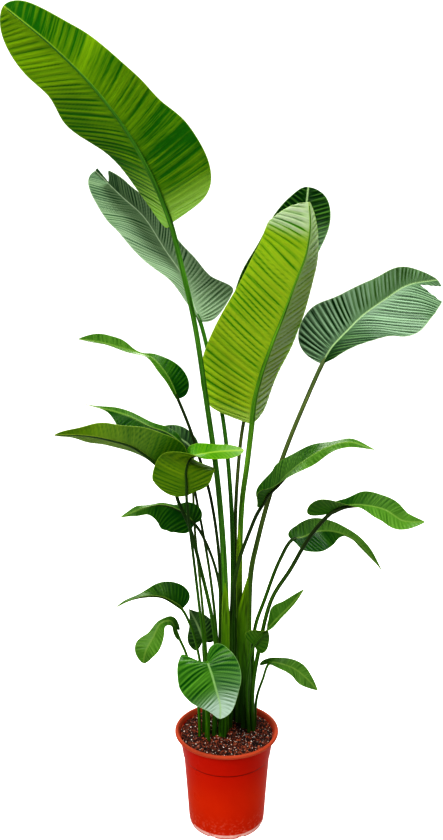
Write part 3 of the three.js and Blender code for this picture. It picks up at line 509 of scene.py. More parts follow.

# %% [markdown]
# ## Light and dark along each leaf
#
# No leaf is one green from base to tip. Old tissue is dark, thin or sunlit tissue is light, and a waxy
# bloom turns some stretches grey. That could be painted by hand, but here it is a table too. Each half
# has two rows of keys from base to tip: how light its green is, which also paints shade where a stretch
# lies in shadow, and how much bloom lies on it, which also paints the pale sheen where a blade reflects
# the light. They are stored on the mesh, and the leaf skins read them.

# %% Tones
# Shade keys hold painted shadow as well as the tissue's tone; bloom keys hold painted sheen as well as
# wax.
TONES = {
    "leaf_crown_left": (([0.9, 0.15, 0.1, 0.2, 0.3, 0.3, 0.1, 0.0], [0.6, 0, 0, 0, 0, 0, 0, 0]),
                        ([1.0, 0.3, 0.1, 0.15, 0.25, 0.4, 0.5, 0.5], [0.8, 0.2, 0, 0, 0, 0, 0, 0])),
    "leaf_crown_back_left": (([0.9, 0.7, 0.5, 0.45, 0.4, 0.35], [1.0, 0.6, 0.4, 0.3, 0.2, 0.1]),
                             ([0.9, 0.7, 0.5, 0.4, 0.25, 0.0], [1.0, 0.65, 0.5, 0.35, 0.1, 0.0])),
    "leaf_crown_front": (([1.0, 1.0, 1.0, 0.95, 0.85, 0.7], [0.6, 0.6, 0.6, 0.6, 0.8, 1.0]),
                         ([0.8, 0.6, 0.6, 0.6, 0.6, 0.5],
                          [0.25, 0, 0, 0, 0, 0, 0, 0, 0, 0, 0.05, 0.9, 1.0])),
    "leaf_crown_back": (([0.2, 0.15, 0.1, 0.1], [0, 0, 0, 0]),
                        ([0.3, 0.3, 0.3, 0.3, 0.6, 0.4, 0.1, 0.1], [0, 0, 0, 0.1, 0.5, 0.3, 0, 0])),
    "leaf_crown_right": (([0.2, 0.2, 0.75, 0.9, 0.85, 0.8], [0.3, 0.4, 0.55, 0.45, 0.4, 0.3]),
                         ([0.0, 0.1, 0.25, 0.3, 0.25, 0.2], [0.0, 0.15, 0.4, 0.4, 0.3, 0.15])),
    "leaf_mid_left_upper": (([0.3, 0.4, 0.5, 0.4], [0.0, 0.2, 0.3, 0.2]),
                            ([0.0, 0.1, 0.3, 0.4, 0.35, 0.3], [0.0, 0.0, 0.1, 0.3, 0.3, 0.2])),
    "leaf_mid_left_back": (([0.1, 0.1, 0.1, 0.1], [0.0, 0.0, 0.0, 0.0]),
                           ([0.1, 0.2, 0.2, 0.3], [0.0, 0.1, 0.3, 0.2])),
    "leaf_mid_left_long": (([0.0, 0.0, 0.2, 0.4, 0.3, 0.1], [0.0, 0.0, 0.1, 0.1, 0.0, 0.0]),
                           ([0.1, 0.1, 0.3, 0.4, 0.4, 0.3], [0.1, 0.1, 0.2, 0.1, 0.1, 0.1])),
    "leaf_mid_left_small": (([0.0, 0.1, 0.2, 0.2], [0.0, 0.1, 0.1, 0.0]),
                            ([0.1, 0.2, 0.3, 0.3], [0.0, 0.1, 0.1, 0.0])),
    "leaf_mid_front_folded": (([0.2, 0.2, 0.25, 0.4, 0.5, 0.4], [0.0, 0.0, 0.0, 0.0, 0.1, 0.3]),
                              ([0.2, 0.2, 0.25, 0.4, 0.5, 0.4], [0.0, 0.0, 0.0, 0.0, 0.1, 0.3])),
    "leaf_mid_left_lower": (([0.05, 0.1, 0.1, 0.2, 0.4], [0.0, 0.0, 0.0, 0.1, 0.1]),
                            ([0.1, 0.2, 0.3, 0.4, 0.4], [0.0, 0.1, 0.2, 0.2, 0.1])),
    "leaf_mid_right_arching": (([0.0, 0.1, 0.15, 0.3, 0.3], [0.0, 0.3, 0.1, 0.2, 0.3]),
                               ([0.0, 0.1, 0.4, 0.4, 0.2], [0.0, 0.1, 0.3, 0.3, 0.1])),
    "leaf_mid_right_twisted": (([0.1, 0.1, 0.2, 0.4, 0.4], [0.0, 0.1, 0.3, 0.3, 0.2]),
                               ([0.0, 0.2, 0.5, 0.55, 0.5], [0.0, 0.2, 0.3, 0.3, 0.2])),
    "leaf_mid_right_drooping": (([0.1, 0.2, 0.5, 0.4, 0.3], [0.1, 0.3, 0.5, 0.4, 0.3]),
                                ([0.1, 0.1, 0.2, 0.3, 0.3], [0.0, 0.0, 0.1, 0.2, 0.2])),
    "leaf_low_left_upper": (([0.1, 0.2, 0.3], [0.0, 0.1, 0.1]),
                            ([0.0, 0.1, 0.4, 0.2], [0.0, 0.1, 0.2, 0.1])),
    "leaf_low_left_drooping": (([0.3, 0.3, 0.5, 0.5], [0.1, 0.2, 0.4, 0.2]),
                               ([0.2, 0.3, 0.5, 0.5], [0.1, 0.2, 0.4, 0.2])),
    "leaf_low_front_heart": (([0.35, 0.3, 0.3, 0.5, 0.5], [0.0, 0.05, 0.2, 0.9, 1.0]),
                             ([0.4, 0.5, 0.5, 0.5, 0.5], [0.0, 0.0, 0.1, 0.9, 1.0])),
    "leaf_low_right_twisted": (([0.1, 0.2, 0.3, 0.3], [0.0, 0.1, 0.2, 0.2]),
                               ([0.1, 0.3, 0.4, 0.3], [0.0, 0.1, 0.2, 0.2])),
    "leaf_low_back": (([0.3, 0.4, 0.4], [0.0, 0.1, 0.1]), ([0.4, 0.5, 0.4], [0.0, 0.1, 0.1])),
    "leaf_low_right_drooping": (([0.2, 0.3, 0.4, 0.3], [0.1, 0.4, 0.5, 0.3]),
                                ([0.2, 0.4, 0.4, 0.3], [0.1, 0.4, 0.5, 0.3])),
}
print("leaves with their own tones:", len(TONES))

# %% [markdown]
# ## A smooth path through the points
#
# A stalk bends gently from the soil to the neck and goes on as the midrib. A Bezier curve would
# need handles for every point. A centripetal Catmull-Rom curve needs only the points, passes
# through all of them and makes no loops. The CAD model uses the same one, so the finer leaf lies
# exactly where the solid leaf does. A `Path` can then be read by its share of the length, 0 to 1.

# %% Paths
STEM_FOOT = 165
STEPS = 40
HEADING_REACH = 0.01


def unit(vectors):
    vectors = np.asarray(vectors, float)
    return vectors / np.linalg.norm(vectors, axis=-1, keepdims=True)


def smooth_curve(points):
    """Points along a centripetal Catmull-Rom curve, STEPS of them between two given ones."""
    given = [np.asarray(p, float) for p in points]
    given = [2 * given[0] - given[1], *given, 2 * given[-1] - given[-2]]
    t = (np.arange(STEPS) / STEPS)[:, None]
    line = []
    for before, start, end, after in zip(given, given[1:], given[2:], given[3:]):
        d0, d1, d2 = (np.linalg.norm(b - a) ** 0.5 for a, b in
                      ((before, start), (start, end), (end, after)))
        m0 = ((start - before) / d0 - (end - before) / (d0 + d1) + (end - start) / d1) * d1
        m1 = ((end - start) / d1 - (after - start) / (d1 + d2) + (after - end) / d2) * d1
        line.append((2 * t**3 - 3 * t**2 + 1) * start + (t**3 - 2 * t**2 + t) * m0
                    + (3 * t**2 - 2 * t**3) * end + (t**3 - t**2) * m1)
    return np.vstack([*line, given[-2][None]])


class Path:
    """A curve read by its share of the length."""

    def __init__(self, points):
        self.points = points
        steps = np.linalg.norm(np.diff(points, axis=0), axis=1)
        self.travelled = np.concatenate([[0], np.cumsum(steps)])
        self.length = self.travelled[-1]

    def at(self, share):
        place = np.clip(share, 0, 1) * self.length
        return np.stack([np.interp(place, self.travelled, self.points[:, k]) for k in range(3)], -1)

    def heading(self, share):
        share = np.asarray(share, float)
        return unit(self.at(share + HEADING_REACH) - self.at(share - HEADING_REACH))


def leaf_paths(item):
    """The stalk's path and the midrib's."""
    points = smooth_curve([(*item["foot"], STEM_FOOT), *item["stem"], *item["rib"]])
    neck = len(item["stem"]) * STEPS
    return Path(points[:neck + 1]), Path(points[neck:])


print("longest stalk in mm:", round(max(leaf_paths(item)[0].length for item in LEAVES)))

# %% [markdown]
# ## The blade's surface
#
# A real blade is one thin sheet. Its side veins leave the midrib nearly at a right angle and bend
# towards the tip, each half folds up a little, and the margin waves. It could be bent from a flat
# outline with modifiers, but twenty different leaves are easier to keep right as one formula. So a
# blade is a grid: rows follow the side veins from the midrib to the margin, and columns run from
# neck to tip. Rows crowd at the neck, where the outline turns quickly.

# %% Blade formula
OUT_OF_STEP = 0.37
VEIN_BEND = 1.4
NECK_CROWDING = 0.75
NECK_POWER = 1.25


def along(keys, share):
    """A smooth value between evenly spaced keys, at each share from 0 to 1."""
    keys = np.asarray(keys, float)
    last = len(keys) - 1
    padded = np.concatenate([[2 * keys[0] - keys[1]], keys, [2 * keys[-1] - keys[-2]]])
    x = np.clip(np.asarray(share) * last, 0, last - 1e-9)
    i = np.floor(x).astype(int)
    f = x - i
    before, start, end, after = (padded[i + k] for k in range(4))
    g = f * f * (3 - 2 * f)
    return (1 - g) * start + g * end + f * (1 - f) * ((1 - f) * (end - before) - f * (after - start)) / 2


def blade_frame(item, rib, share):
    """Forward, up and right directions of the blade at each share of its midrib."""
    forward = rib.heading(share)
    faces = np.array(item["faces"], float)
    up = np.stack([along(faces[:, k], share) for k in range(3)], -1)
    up = unit(up - (up * forward).sum(-1, keepdims=True) * forward)
    return forward, up, np.cross(forward, up)


def blade_points(item, rib, share, side, u):
    """Points of one half: a row for each share of the midrib, a column for each u."""
    forward, up, right = (v[:, None] for v in blade_frame(item, rib, share))
    shape = item["sides"][side]
    s = np.asarray(share)[:, None]
    rise = np.sqrt(np.maximum(0, 1 - (1 - s) ** (2 * item["base"])))
    blunt, round_off = shape["tip"]
    width = along(shape["widths"], s) * rise * np.maximum(0, 1 - s**blunt) ** round_off
    fold = np.radians(along(shape["fold"], s))
    sweep = -shape["lobe"] * np.sin(np.pi * rise) + item["sweep"] * width * s * (1 - s**4)
    height, count, phase = item["wave"]
    turn = count * s + phase + (OUT_OF_STEP if side > 0 else 0)
    ripple = height * u**2 * np.minimum(1, np.minimum(4 * s, 4 * (1 - s))) * np.sin(2 * np.pi * turn)
    reach = width * u
    return (rib.at(share)[:, None] + forward * (sweep * u**VEIN_BEND)[..., None]
            + right * (side * reach * np.cos(fold))[..., None]
            + up * (reach * np.sin(fold) + ripple)[..., None])


def row_shares(rows):
    """Where the rows leave the midrib, from 0 to 1."""
    t = np.linspace(0, 1, rows + 1)
    eased = 0.5 - 0.5 * np.cos(np.pi * t)
    return (NECK_CROWDING * eased + (1 - NECK_CROWDING) * t) ** NECK_POWER


print("rows in the first tenth of a crown blade:", int((row_shares(CROWN["rows"]) < 0.1).sum()))

# %% [markdown]
# Six measures are kept on the grid's points, because the pleats and the colours follow them. `out` is
# the distance from the midrib and `edge` the distance from the margin. `vein` is the distance along the
# blade, measured at `VEIN_AT` of the half's width, less the slant, so that it stays the same all along a
# side vein. These are in millimetres. `depth` says how deep the pleats are, and the shade and the bloom
# are the tones above, the shade with painted shadow in it and the bloom with painted sheen. Each half is
# measured by itself, and the two are joined at the midrib.

# %% Blade grid
VEIN_AT = 0.6


def travelled(points, axis):
    """How far the surface goes up to each point, along one axis of the grid."""
    steps = np.linalg.norm(np.diff(points, axis=axis), axis=-1)
    start = np.zeros_like(np.take(steps, [0], axis))
    return np.concatenate([start, np.cumsum(steps, axis)], axis)


def blade_grid(item, rib):
    """The whole blade's points, and the six measures of each."""
    share = row_shares(item["rows"])
    u = np.linspace(0, 1, item["columns"] + 1)[None]
    halves, measures = [], []
    for side in (-1, 1):
        points = blade_points(item, rib, share, side, u)
        out = travelled(points, 1)
        edge = out[:, -1:] - out
        middle = round(VEIN_AT * item["columns"])
        vein = travelled(points[:, middle:middle + 1], 0) - item["slant"][side > 0] * out
        halves.append(points)
        tones = TONES[item["name"]][side > 0]
        shade, bloom_and_sheen = (along(keys, share)[:, None] + 0 * out for keys in tones)
        depth = item["depths"][side > 0] + 0 * out
        measures.append(np.stack([vein, side * out, edge, depth, shade, bloom_and_sheen], -1))
    points = np.concatenate([halves[0][:, :0:-1], halves[1]], 1)
    return points, np.concatenate([measures[0][:, :0:-1], measures[1]], 1)


print("rows of a crown blade:", CROWN["rows"], "columns:", 2 * CROWN["columns"] + 1)

# %% [markdown]
# ## Pleats
#
# Between its side veins the blade bulges a little, like corduroy. A bump in the material could shade
# that, but pleats this wide also show in the outline and catch the light from the side, so the points
# really move. What repeats suits Geometry Nodes: a tree lifts the points along the surface's normal by a
# sine of `vein`, sharpened so that ridges are narrower than valleys. Noise makes the pleats uneven, and
# they fade out at the midrib and at the margin. The tree also stores `ridge`, so that the skins can
# paint a highlight on the crests. In each noise, the numbers that divide `vein` and `out` are the size
# of its spots in millimetres, along the blade and across it.

# %% Pleat tree
FULL_TURN = 6.2832
FADE_AT_RIB = (2, 22)
FADE_AT_MARGIN = (-3, 9)


def pleat_tree():
    tree, start, size = open_tree("pleats", pitch=10.0, height=0.8, swell=2.0, seed=0.0)
    vein, out, edge = (stored(start, name) for name in ("vein", "out", "edge"))
    wander = noise(combine(vein / 70, out / 500, size["seed"]), 1.0) * 2.5
    wave = (vein / size["pitch"] + wander) * FULL_TURN
    fade = out.math("ABSOLUTE", out).smooth(*FADE_AT_RIB) * edge.smooth(*FADE_AT_MARGIN)
    fade = fade * stored(start, "depth")
    uneven = noise(combine(vein / 18, out / 160, size["seed"] + 5), 1.0, 2.0) * 1.7
    crest = wave.math("SINE", wave) * 0.5 + 0.5
    ridge = (crest.math("POWER", crest, 2.0) * 2.0 - 0.75) * fade * uneven
    lift = ridge * size["height"]
    slow = noise(combine(vein / 70, out / 70, size["seed"] + 9), 1.0) - 0.5
    lift = lift + slow * size["swell"] * fade
    normal = start.add("GeometryNodeInputNormal")
    offset = normal.add("ShaderNodeVectorMath", {"operation": "SCALE"}, {0: normal, "Scale": lift * MM})
    moved = start.add("GeometryNodeSetPosition", None,
                      {"Geometry": size["Geometry"], "Offset": offset})
    kept = start.add("GeometryNodeStoreNamedAttribute", None,
                     {"Geometry": moved, "Name": "ridge", "Value": ridge})
    return close_tree(tree, kept, size)


PLEATS = pleat_tree()
print("pleat tree inputs:", [i.name for i in PLEATS.interface.items_tree if i.in_out == "INPUT"])

# %% [markdown]
# ## Stalks and midribs
#
# The stalk of a real leaf is round with a shallow channel on its upper side, and goes on under the
# blade as the midrib, which thins out before the tip. A curve with a bevel would be round all over.
# Geometry Nodes can sweep any profile along it, so the path's points carry their radius and the
# blade's upward direction, and a circle with a dent on that side follows them. Its own `round`
# coordinates are stored too, because the stalk's streaks run along them.

# %% Stalk tree
CHANNEL_SIDE = (0.72, 1.0)


def stalk_tree():
    tree, start, size = open_tree("stalk", sides=16, channel=0.35)
    curve = start.add("GeometryNodeMeshToCurve", None, {0: size["Geometry"]})
    curve = start.add("GeometryNodeSetCurveNormal", {"mode": "FREE"},
                      {"Curve": curve, "Normal": stored(start, "up", "FLOAT_VECTOR")})
    radius = stored(start, "radius")
    curve = start.add("GeometryNodeSetCurveRadius", None, {"Curve": curve, "Radius": radius})
    ring = start.add("GeometryNodeCurvePrimitiveCircle", None, {"Resolution": size["sides"]})
    place = start.add("GeometryNodeInputPosition")
    x = start.add("ShaderNodeSeparateXYZ", None, {0: place})
    dent = x.smooth(*CHANNEL_SIDE) * size["channel"]
    ring = start.add("GeometryNodeSetPosition", None,
                     {"Geometry": ring, "Offset": combine(dent * -1, 0.0, 0.0)})
    ring = start.add("GeometryNodeStoreNamedAttribute", {"data_type": "FLOAT_VECTOR"},
                     {"Geometry": ring, "Name": "round", "Value": place})
    tube = start.add("GeometryNodeCurveToMesh", None,
                     {"Curve": curve, "Profile Curve": ring, "Scale": radius, "Fill Caps": True})
    return close_tree(tree, tube, size)


STALK = stalk_tree()
print("stalk tree inputs:", [i.name for i in STALK.interface.items_tree if i.in_out == "INPUT"])

# %% [markdown]
# The centre line is worked out in Python. A stalk is thickest at its foot, and the midrib sinks
# under the blade just past the neck, so that the blade's upper side stays whole.

# %% Stalk line
STALK_STEP = 9
FOOT_TAPER = 2.2
RIB_POINTS = 40
RIB_END = 0.985
RIB_START = 0.06
RIB_DEPTH = 0.8
RIB_TIP = 0.14
RIB_TAPER = 1.1


def stalk_line(item, petiole, rib):
    """Centre line of stalk and midrib, with radius, upward direction and distance travelled."""
    foot, neck = item["radii"]
    t = np.linspace(0, 1, max(24, round(petiole.length / STALK_STEP)))
    low_radius = neck + (foot - neck) * (1 - t) ** FOOT_TAPER
    s = np.linspace(0, RIB_END, RIB_POINTS)[1:]
    _, up, _ = blade_frame(item, rib, s)
    rib_radius = neck * (RIB_TIP + (1 - RIB_TIP) * (1 - s) ** RIB_TAPER)
    sunk = RIB_DEPTH * rib_radius * np.minimum(1, s / RIB_START)
    line = np.vstack([petiole.at(t), rib.at(s) - up * sunk[:, None]])
    way = np.concatenate([t * petiole.length, petiole.length + s * rib.length])
    start_up = blade_frame(item, rib, np.array([0.0]))[1]
    heading = petiole.heading(t)
    low_up = unit(start_up - (start_up * heading).sum(-1, keepdims=True) * heading)
    radius = np.concatenate([low_radius, rib_radius])
    return line, radius * MM, np.vstack([low_up, up]), way


print("thickest stalk in mm:", 2 * max(item["radii"][0] for item in LEAVES))

# %% [markdown]
# ## Leaf skins
#
# Young leaves are yellow-green and let light through, so with the light behind them they glow. Old
# leaves are dark and waxy, with a grey bloom. A picture could be wrapped on each blade, but it would
# stretch over the folds and repeat from leaf to leaf. Noise that reads the blade's own measures
# follows every side vein of every leaf, so one function makes both sides of any blade.
#
# It goes from a dark green to a light one by `tone`, which adds up the leaf's shade keys, a painted
# highlight on the pleat crests and streaks of three widths along the veins. Over that come the bloom
# with its painted sheen, the midrib and a pale line at the margin. The light that comes through is a
# Translucent shader.

# %% Blade skin
RIDGE_LIGHT = 0.42
RIB_LINE = (0.7, 3.6)
MARGIN_LINE = (0.5, 2.0)


def blade_skin(name, light, dark, rib, pale, rough, through, share, streak=1.0, facing=1):
    """One side of a blade: facing is 1 above and -1 underneath, where a ridge is a valley."""
    light, dark, rib, pale = (paint(*colour) for colour in (light, dark, rib, pale))
    material, output, start = new_material(name)
    vein, out, edge = (attribute(start, label) for label in ("vein", "out", "edge"))
    shade, bloom_and_sheen, ridge = (attribute(start, label) for label in ("shade", "bloom_and_sheen", "ridge"))
    away = out.math("ABSOLUTE", out)
    bands = noise(combine(vein / 34, out / 300, 7.0), 1.0, 2.0) - 0.5
    broad = noise(combine(vein / 9, out / 260, 0.0), 1.0, 3.0, 0.65) - 0.5
    fine = noise(combine(vein / 3.2, out / 220, 3.0), 1.0, 1.0) - 0.5
    patch = noise(in_place(start), 11.0, 2.0) - 0.5
    # Painted highlight: the pleat crests are painted lighter on the upper side and darker underneath.
    painted_crest_light = ridge * (RIDGE_LIGHT * facing * streak)
    streaks = (bands * 0.8 + broad * 1.2 + fine * 0.7) * streak
    tone = (shade + painted_crest_light + streaks + patch * 0.4).clamp()
    colour = mix(tone, dark, light)
    # Painted sheen: pale streaks along the crests where the bloom lies, then wax bloom and painted sheen
    # mixed in as the pale colour.
    painted_sheen_streaks = (painted_crest_light * 1.2 + broad * 1.4 + fine * 0.8) * bloom_and_sheen.smooth(0.0, 0.5)
    wax_and_sheen = (bloom_and_sheen + painted_sheen_streaks + patch * bloom_and_sheen).clamp()
    colour = mix(wax_and_sheen * 0.9, colour, pale)
    colour = mix((1 - away.smooth(*RIB_LINE)) * 0.6, colour, rib)
    colour = mix((1 - edge.smooth(*MARGIN_LINE)) * 0.4, colour, rib)
    surface(start, output, {
        "Base Color": colour,
        "Roughness": rough + fine * 0.16 + patch * 0.12 + wax_and_sheen * 0.1,
        "Specular IOR Level": 0.1,
        "Normal": bump(fine * 0.5 + broad, 0.001, 0.7),
    }, through, (tone * 1.3 + 0.15) * share)
    return material


print("blade skin ready")

# %% [markdown]
# Stalks are streaked along their length, darker in some strands and paler in others, and change from
# their colour at the soil to that at the neck. The dark strands are partly streaks and partly painted
# shade, the pale ones partly streaks and partly painted glints, and noise adds painted patches of
# sunlight. The streaks read `round`, the place on the profile, and `way`, the distance from the foot.
# Dividing `way` by a large number draws the noise out into strands. The strands multiply the colour, so
# a green one stays green.

# %% Stalk skin
STRAND_LENGTH = 170
NECK_COLOUR_FROM = (150, 620)
# Multipliers: dark strands with painted shade, pale strands with painted glints, and painted sunlit
# patches.
STREAK_AND_PAINTED_SHADE = (0.5, 0.5, 0.5)
STREAK_AND_PAINTED_GLINT = (2.1, 1.7, 1.8)
PAINTED_SUN_PATCH = (1.6, 1.4, 1.2)


def stalk_skin(name, low, high, rough=0.4):
    material, output, start = new_material(name)
    way = attribute(start, "way")
    around = attribute(start, "round", 1)
    place = around.vector("ADD", around, combine(0.0, 0.0, way / STRAND_LENGTH))
    strands = noise(place, 1.9, 3.0, 0.6)
    patch = noise(in_place(start), 14.0)
    colour = mix(way.smooth(*NECK_COLOUR_FROM), paint(*low), paint(*high))
    # Painted shade and glints in the strands, then painted patches of sunlight.
    colour = mix(strands.smooth(0.5, 0.68), colour, STREAK_AND_PAINTED_SHADE, "MULTIPLY")
    colour = mix((1 - strands.smooth(0.3, 0.5)) * 0.8, colour, STREAK_AND_PAINTED_GLINT, "MULTIPLY")
    colour = mix((patch - 0.4).clamp(), colour, PAINTED_SUN_PATCH, "MULTIPLY")
    surface(start, output, {
        "Base Color": colour,
        "Roughness": rough + (strands - 0.5) * 0.2,
        "Specular IOR Level": 0.12,
        "Normal": bump(strands, 0.0005, 0.5),
    })
    return material


print("stalk skin ready")

# %% [markdown]
# ## The looks of the leaves
#
# The plant shows seven looks, by age, light and bloom. Each has an upper side, an underside and a stalk.
# `light` and `dark` are the two ends of its green, `rib` the midrib's colour and `pale` the colour of
# the bloom and of the painted sheen, as seen on a screen. `rough` is how dull the side is, `through` the
# colour of the light that comes through and `share` how much of it does, and `streak` how strong its
# streaks are. A stalk has its colour at the soil and at the neck.

# %% Looks
YOUNG_UPPER = dict(light=(130, 180, 30), dark=(60, 125, 5), rib=(160, 200, 80), pale=(170, 200, 140),
                   rough=0.42, through=(0.42, 0.66, 0.0), share=0.4)
GREEN_UNDER = dict(light=(122, 160, 40), dark=(44, 96, 6), rib=(150, 176, 66), pale=(150, 176, 120),
                   rough=0.46, through=(0.22, 0.38, 0.01), share=0.2, streak=0.5)
LOOKS = {
    "young": dict(
        upper=YOUNG_UPPER,
        under=dict(light=(172, 204, 26), dark=(26, 96, 0), rib=(180, 204, 70), pale=(176, 206, 150),
                   rough=0.45, through=(0.4, 0.62, 0.0), share=0.4, streak=0.75),
        stalk=((74, 128, 12), (62, 112, 30))),
    # Painted sunlight: a lighter copy of the young look, with brighter undersides, for a leaf in full
    # light.
    "sunlit": dict(
        upper=YOUNG_UPPER,
        under=dict(light=(206, 228, 60), dark=(60, 130, 0), rib=(200, 224, 110), pale=(226, 240, 212),
                   rough=0.4, through=(0.46, 0.66, 0.0), share=0.4, streak=1.25),
        stalk=((80, 132, 14), (86, 136, 34))),
    "grey": dict(
        upper=dict(light=(118, 144, 104), dark=(44, 78, 46), rib=(190, 208, 176), pale=(146, 168, 138),
                   rough=0.42, through=(0.12, 0.28, 0.02), share=0.1, streak=1.6),
        under=dict(light=(104, 138, 74), dark=(60, 100, 36), rib=(120, 150, 80), pale=(150, 175, 130),
                   rough=0.5, through=(0.15, 0.3, 0.02), share=0.15, streak=0.7),
        stalk=((64, 112, 12), (56, 108, 28))),
    "dark": dict(
        upper=dict(light=(84, 128, 50), dark=(2, 46, 2), rib=(176, 204, 146), pale=(150, 178, 150),
                   rough=0.3, through=(0.08, 0.24, 0.0), share=0.08, streak=1.1),
        under=dict(light=(126, 164, 40), dark=(52, 104, 8), rib=(150, 180, 70), pale=(150, 176, 130),
                   rough=0.5, through=(0.2, 0.38, 0.01), share=0.2, streak=0.5),
        stalk=((62, 110, 10), (74, 92, 44))),
    "green": dict(
        upper=dict(light=(88, 142, 26), dark=(2, 62, 0), rib=(120, 152, 66), pale=(114, 152, 72),
                   rough=0.3, through=(0.12, 0.32, 0.0), share=0.1, streak=0.5),
        under=GREEN_UNDER,
        stalk=((62, 112, 10), (38, 56, 22))),
    "bright": dict(
        upper=dict(light=(112, 164, 26), dark=(48, 112, 4), rib=(160, 190, 70), pale=(160, 190, 120),
                   rough=0.32, through=(0.3, 0.5, 0.0), share=0.16, streak=0.8),
        under=dict(light=(156, 186, 30), dark=(52, 100, 2), rib=(176, 200, 80), pale=(170, 200, 140),
                   rough=0.42, through=(0.34, 0.54, 0.0), share=0.3, streak=0.5),
        stalk=((62, 114, 10), (34, 64, 16))),
    "glossy": dict(
        upper=dict(light=(98, 152, 52), dark=(6, 72, 4), rib=(160, 196, 130), pale=(190, 212, 196),
                   rough=0.22, through=(0.1, 0.3, 0.0), share=0.06, streak=0.95),
        under=GREEN_UNDER,
        stalk=((62, 114, 10), (80, 120, 40))),
}
SHEATH_SKIN = stalk_skin("sheath", (52, 98, 6), (122, 164, 10), 0.45)
SKINS = {}
for look, sides in LOOKS.items():
    SKINS[look] = (blade_skin(f"blade_{look}_upper", **sides["upper"]),
                   blade_skin(f"blade_{look}_under", **sides["under"], facing=-1),
                   stalk_skin(f"stalk_{look}", *sides["stalk"]))
print("leaf materials:", len(SKINS) * 3 + 1)

# %% [markdown]
# ## Building a leaf
#
# Three small helpers clean a mesh. The grid's first row has no width and its last row ends in a
# point, so points fall together there and are merged. Closed shells get their faces turned
# outwards, and rounded parts are shaded smooth.

# %% Mesh helpers
def edited(thing, change):
    """Opens an object's mesh for a change, and writes it back."""
    shape = bmesh.new()
    shape.from_mesh(thing.data)
    change(shape)
    shape.to_mesh(thing.data)
    shape.free()


def merge_points(thing):
    edited(thing, lambda shape: bmesh.ops.remove_doubles(shape, verts=shape.verts, dist=0.02 * MM))


def fix_outside(thing):
    edited(thing, lambda shape: bmesh.ops.recalc_face_normals(shape, faces=shape.faces))


def shade_smooth(thing):
    thing.data.polygons.foreach_set("use_smooth", np.ones(len(thing.data.polygons), bool))


print("mesh helpers ready")

# %% [markdown]
# Wind tears these large leaves along their side veins. Two crown leaves have a torn tip, which
# shows as a notch. A Boolean with a wedge would need a closed blade, and would leave ragged walls.
# The blade is still one sheet here, so it is cut along both edges of a wedge, and the faces between
# them are taken out. The wedge's point is on the blade. Its edges run out past the margin, as far
# as `TEAR_REACH` half-widths, and it is `TEAR_DEPTH` millimetres deep each way, so that it doesn't
# reach other parts of the curled blade.

# %% Torn tips
TEAR_REACH = 1.5
TEAR_DEPTH = 16
CUT_REACH = 1.2


def open_tear(blade, item, rib):
    side, apex, margin = item["tear"]
    marks = [apex, *((share, TEAR_REACH) for share in margin)]
    spots = [blade_points(item, rib, np.array([s]), side, np.array([[u]]))[0, 0] for s, u in marks]
    corner, first, second = (Vector(spot * MM) for spot in spots)
    edges = (first - corner, second - corner)
    normal = edges[0].cross(edges[1])
    size = normal.length
    normal.normalize()

    def between(face):
        place = face.calc_center_median() - corner
        near = abs(place.dot(normal)) < TEAR_DEPTH * MM
        a = place.cross(edges[1]).dot(normal)
        b = edges[0].cross(place).dot(normal)
        return near and a > 0 and b > 0 and a + b < size

    def cut(shape):
        for edge in edges:
            reach = CUT_REACH * edge.length
            close = [f for f in shape.faces if (f.calc_center_median() - corner).length < reach]
            parts = {*close, *(e for f in close for e in f.edges), *(v for f in close for v in f.verts)}
            bmesh.ops.bisect_plane(shape, geom=list(parts), plane_co=corner, plane_no=edge.cross(normal))
        gap = [face for face in shape.faces if between(face)]
        bmesh.ops.delete(shape, geom=gap, context="FACES")

    edited(blade, cut)


print("torn leaves:", sum("tear" in item for item in LEAVES))

# %% [markdown]
# The blade's grid becomes a mesh with its measures on the points. The pleat tree bends it, and
# Solidify gives it the thickness of a leaf, with the second material underneath and round the rim.
# Solidify comes after the pleats: points that are moved along the normals of a closed shell would
# bulge out on both sides.

# %% Blade
BLADE_THICKNESS = 0.7
SWELL = 3
MEASURES = ("vein", "out", "edge", "depth", "shade", "bloom_and_sheen")


def blade_object(item, rib, skins, number):
    points, measures = blade_grid(item, rib)
    rows, columns = points.shape[:2]
    index = np.arange(rows * columns).reshape(rows, columns)
    corners = (index[:-1, :-1], index[:-1, 1:], index[1:, 1:], index[1:, :-1])
    faces = np.stack([corner.ravel() for corner in corners], -1).tolist()
    flat = measures.reshape(-1, len(MEASURES))
    blade = new_object(item["name"] + "_blade", points.reshape(-1, 3), faces,
                       **{label: flat[:, k] for k, label in enumerate(MEASURES)})
    merge_points(blade)
    if "tear" in item:
        open_tear(blade, item, rib)
    grow(blade, PLEATS, pitch=item["pitch"], height=item["pleat"], seed=float(number),
         swell=item["pleat"] * SWELL, material=skins[0])
    blade.data.materials.clear()
    for skin in (skins[0], skins[1], skins[1]):
        blade.data.materials.append(skin)
    wall = blade.modifiers.new("wall", "SOLIDIFY")
    wall.thickness = BLADE_THICKNESS * MM
    wall.offset = 0
    wall.material_offset = 1
    wall.material_offset_rim = 2
    plain(blade)
    rim = np.zeros(len(blade.data.polygons), int)
    blade.data.polygons.foreach_get("material_index", rim)
    blade.data.polygons.foreach_set("use_smooth", rim < 2)
    return blade


print("blade thickness in mm:", BLADE_THICKNESS)

# %% [markdown]
# At its foot a stalk opens into a sheath that clasps the next one. It is a long channel, as a
# curved strip that narrows to a point. It could be cut from a cone, but a strip of rings is simpler:
# each ring is an arc outside, a flatter arc inside, and the two ends are closed.

# %% Stalk and sheath
SHEATH_RINGS = 60
SHEATH_COLUMNS = 15
SHEATH_TIP = 0.8
SHEATH_CROWN = 0.5
SHEATH_EDGE = 0.8
SHEATH_MIDDLE = 1.8


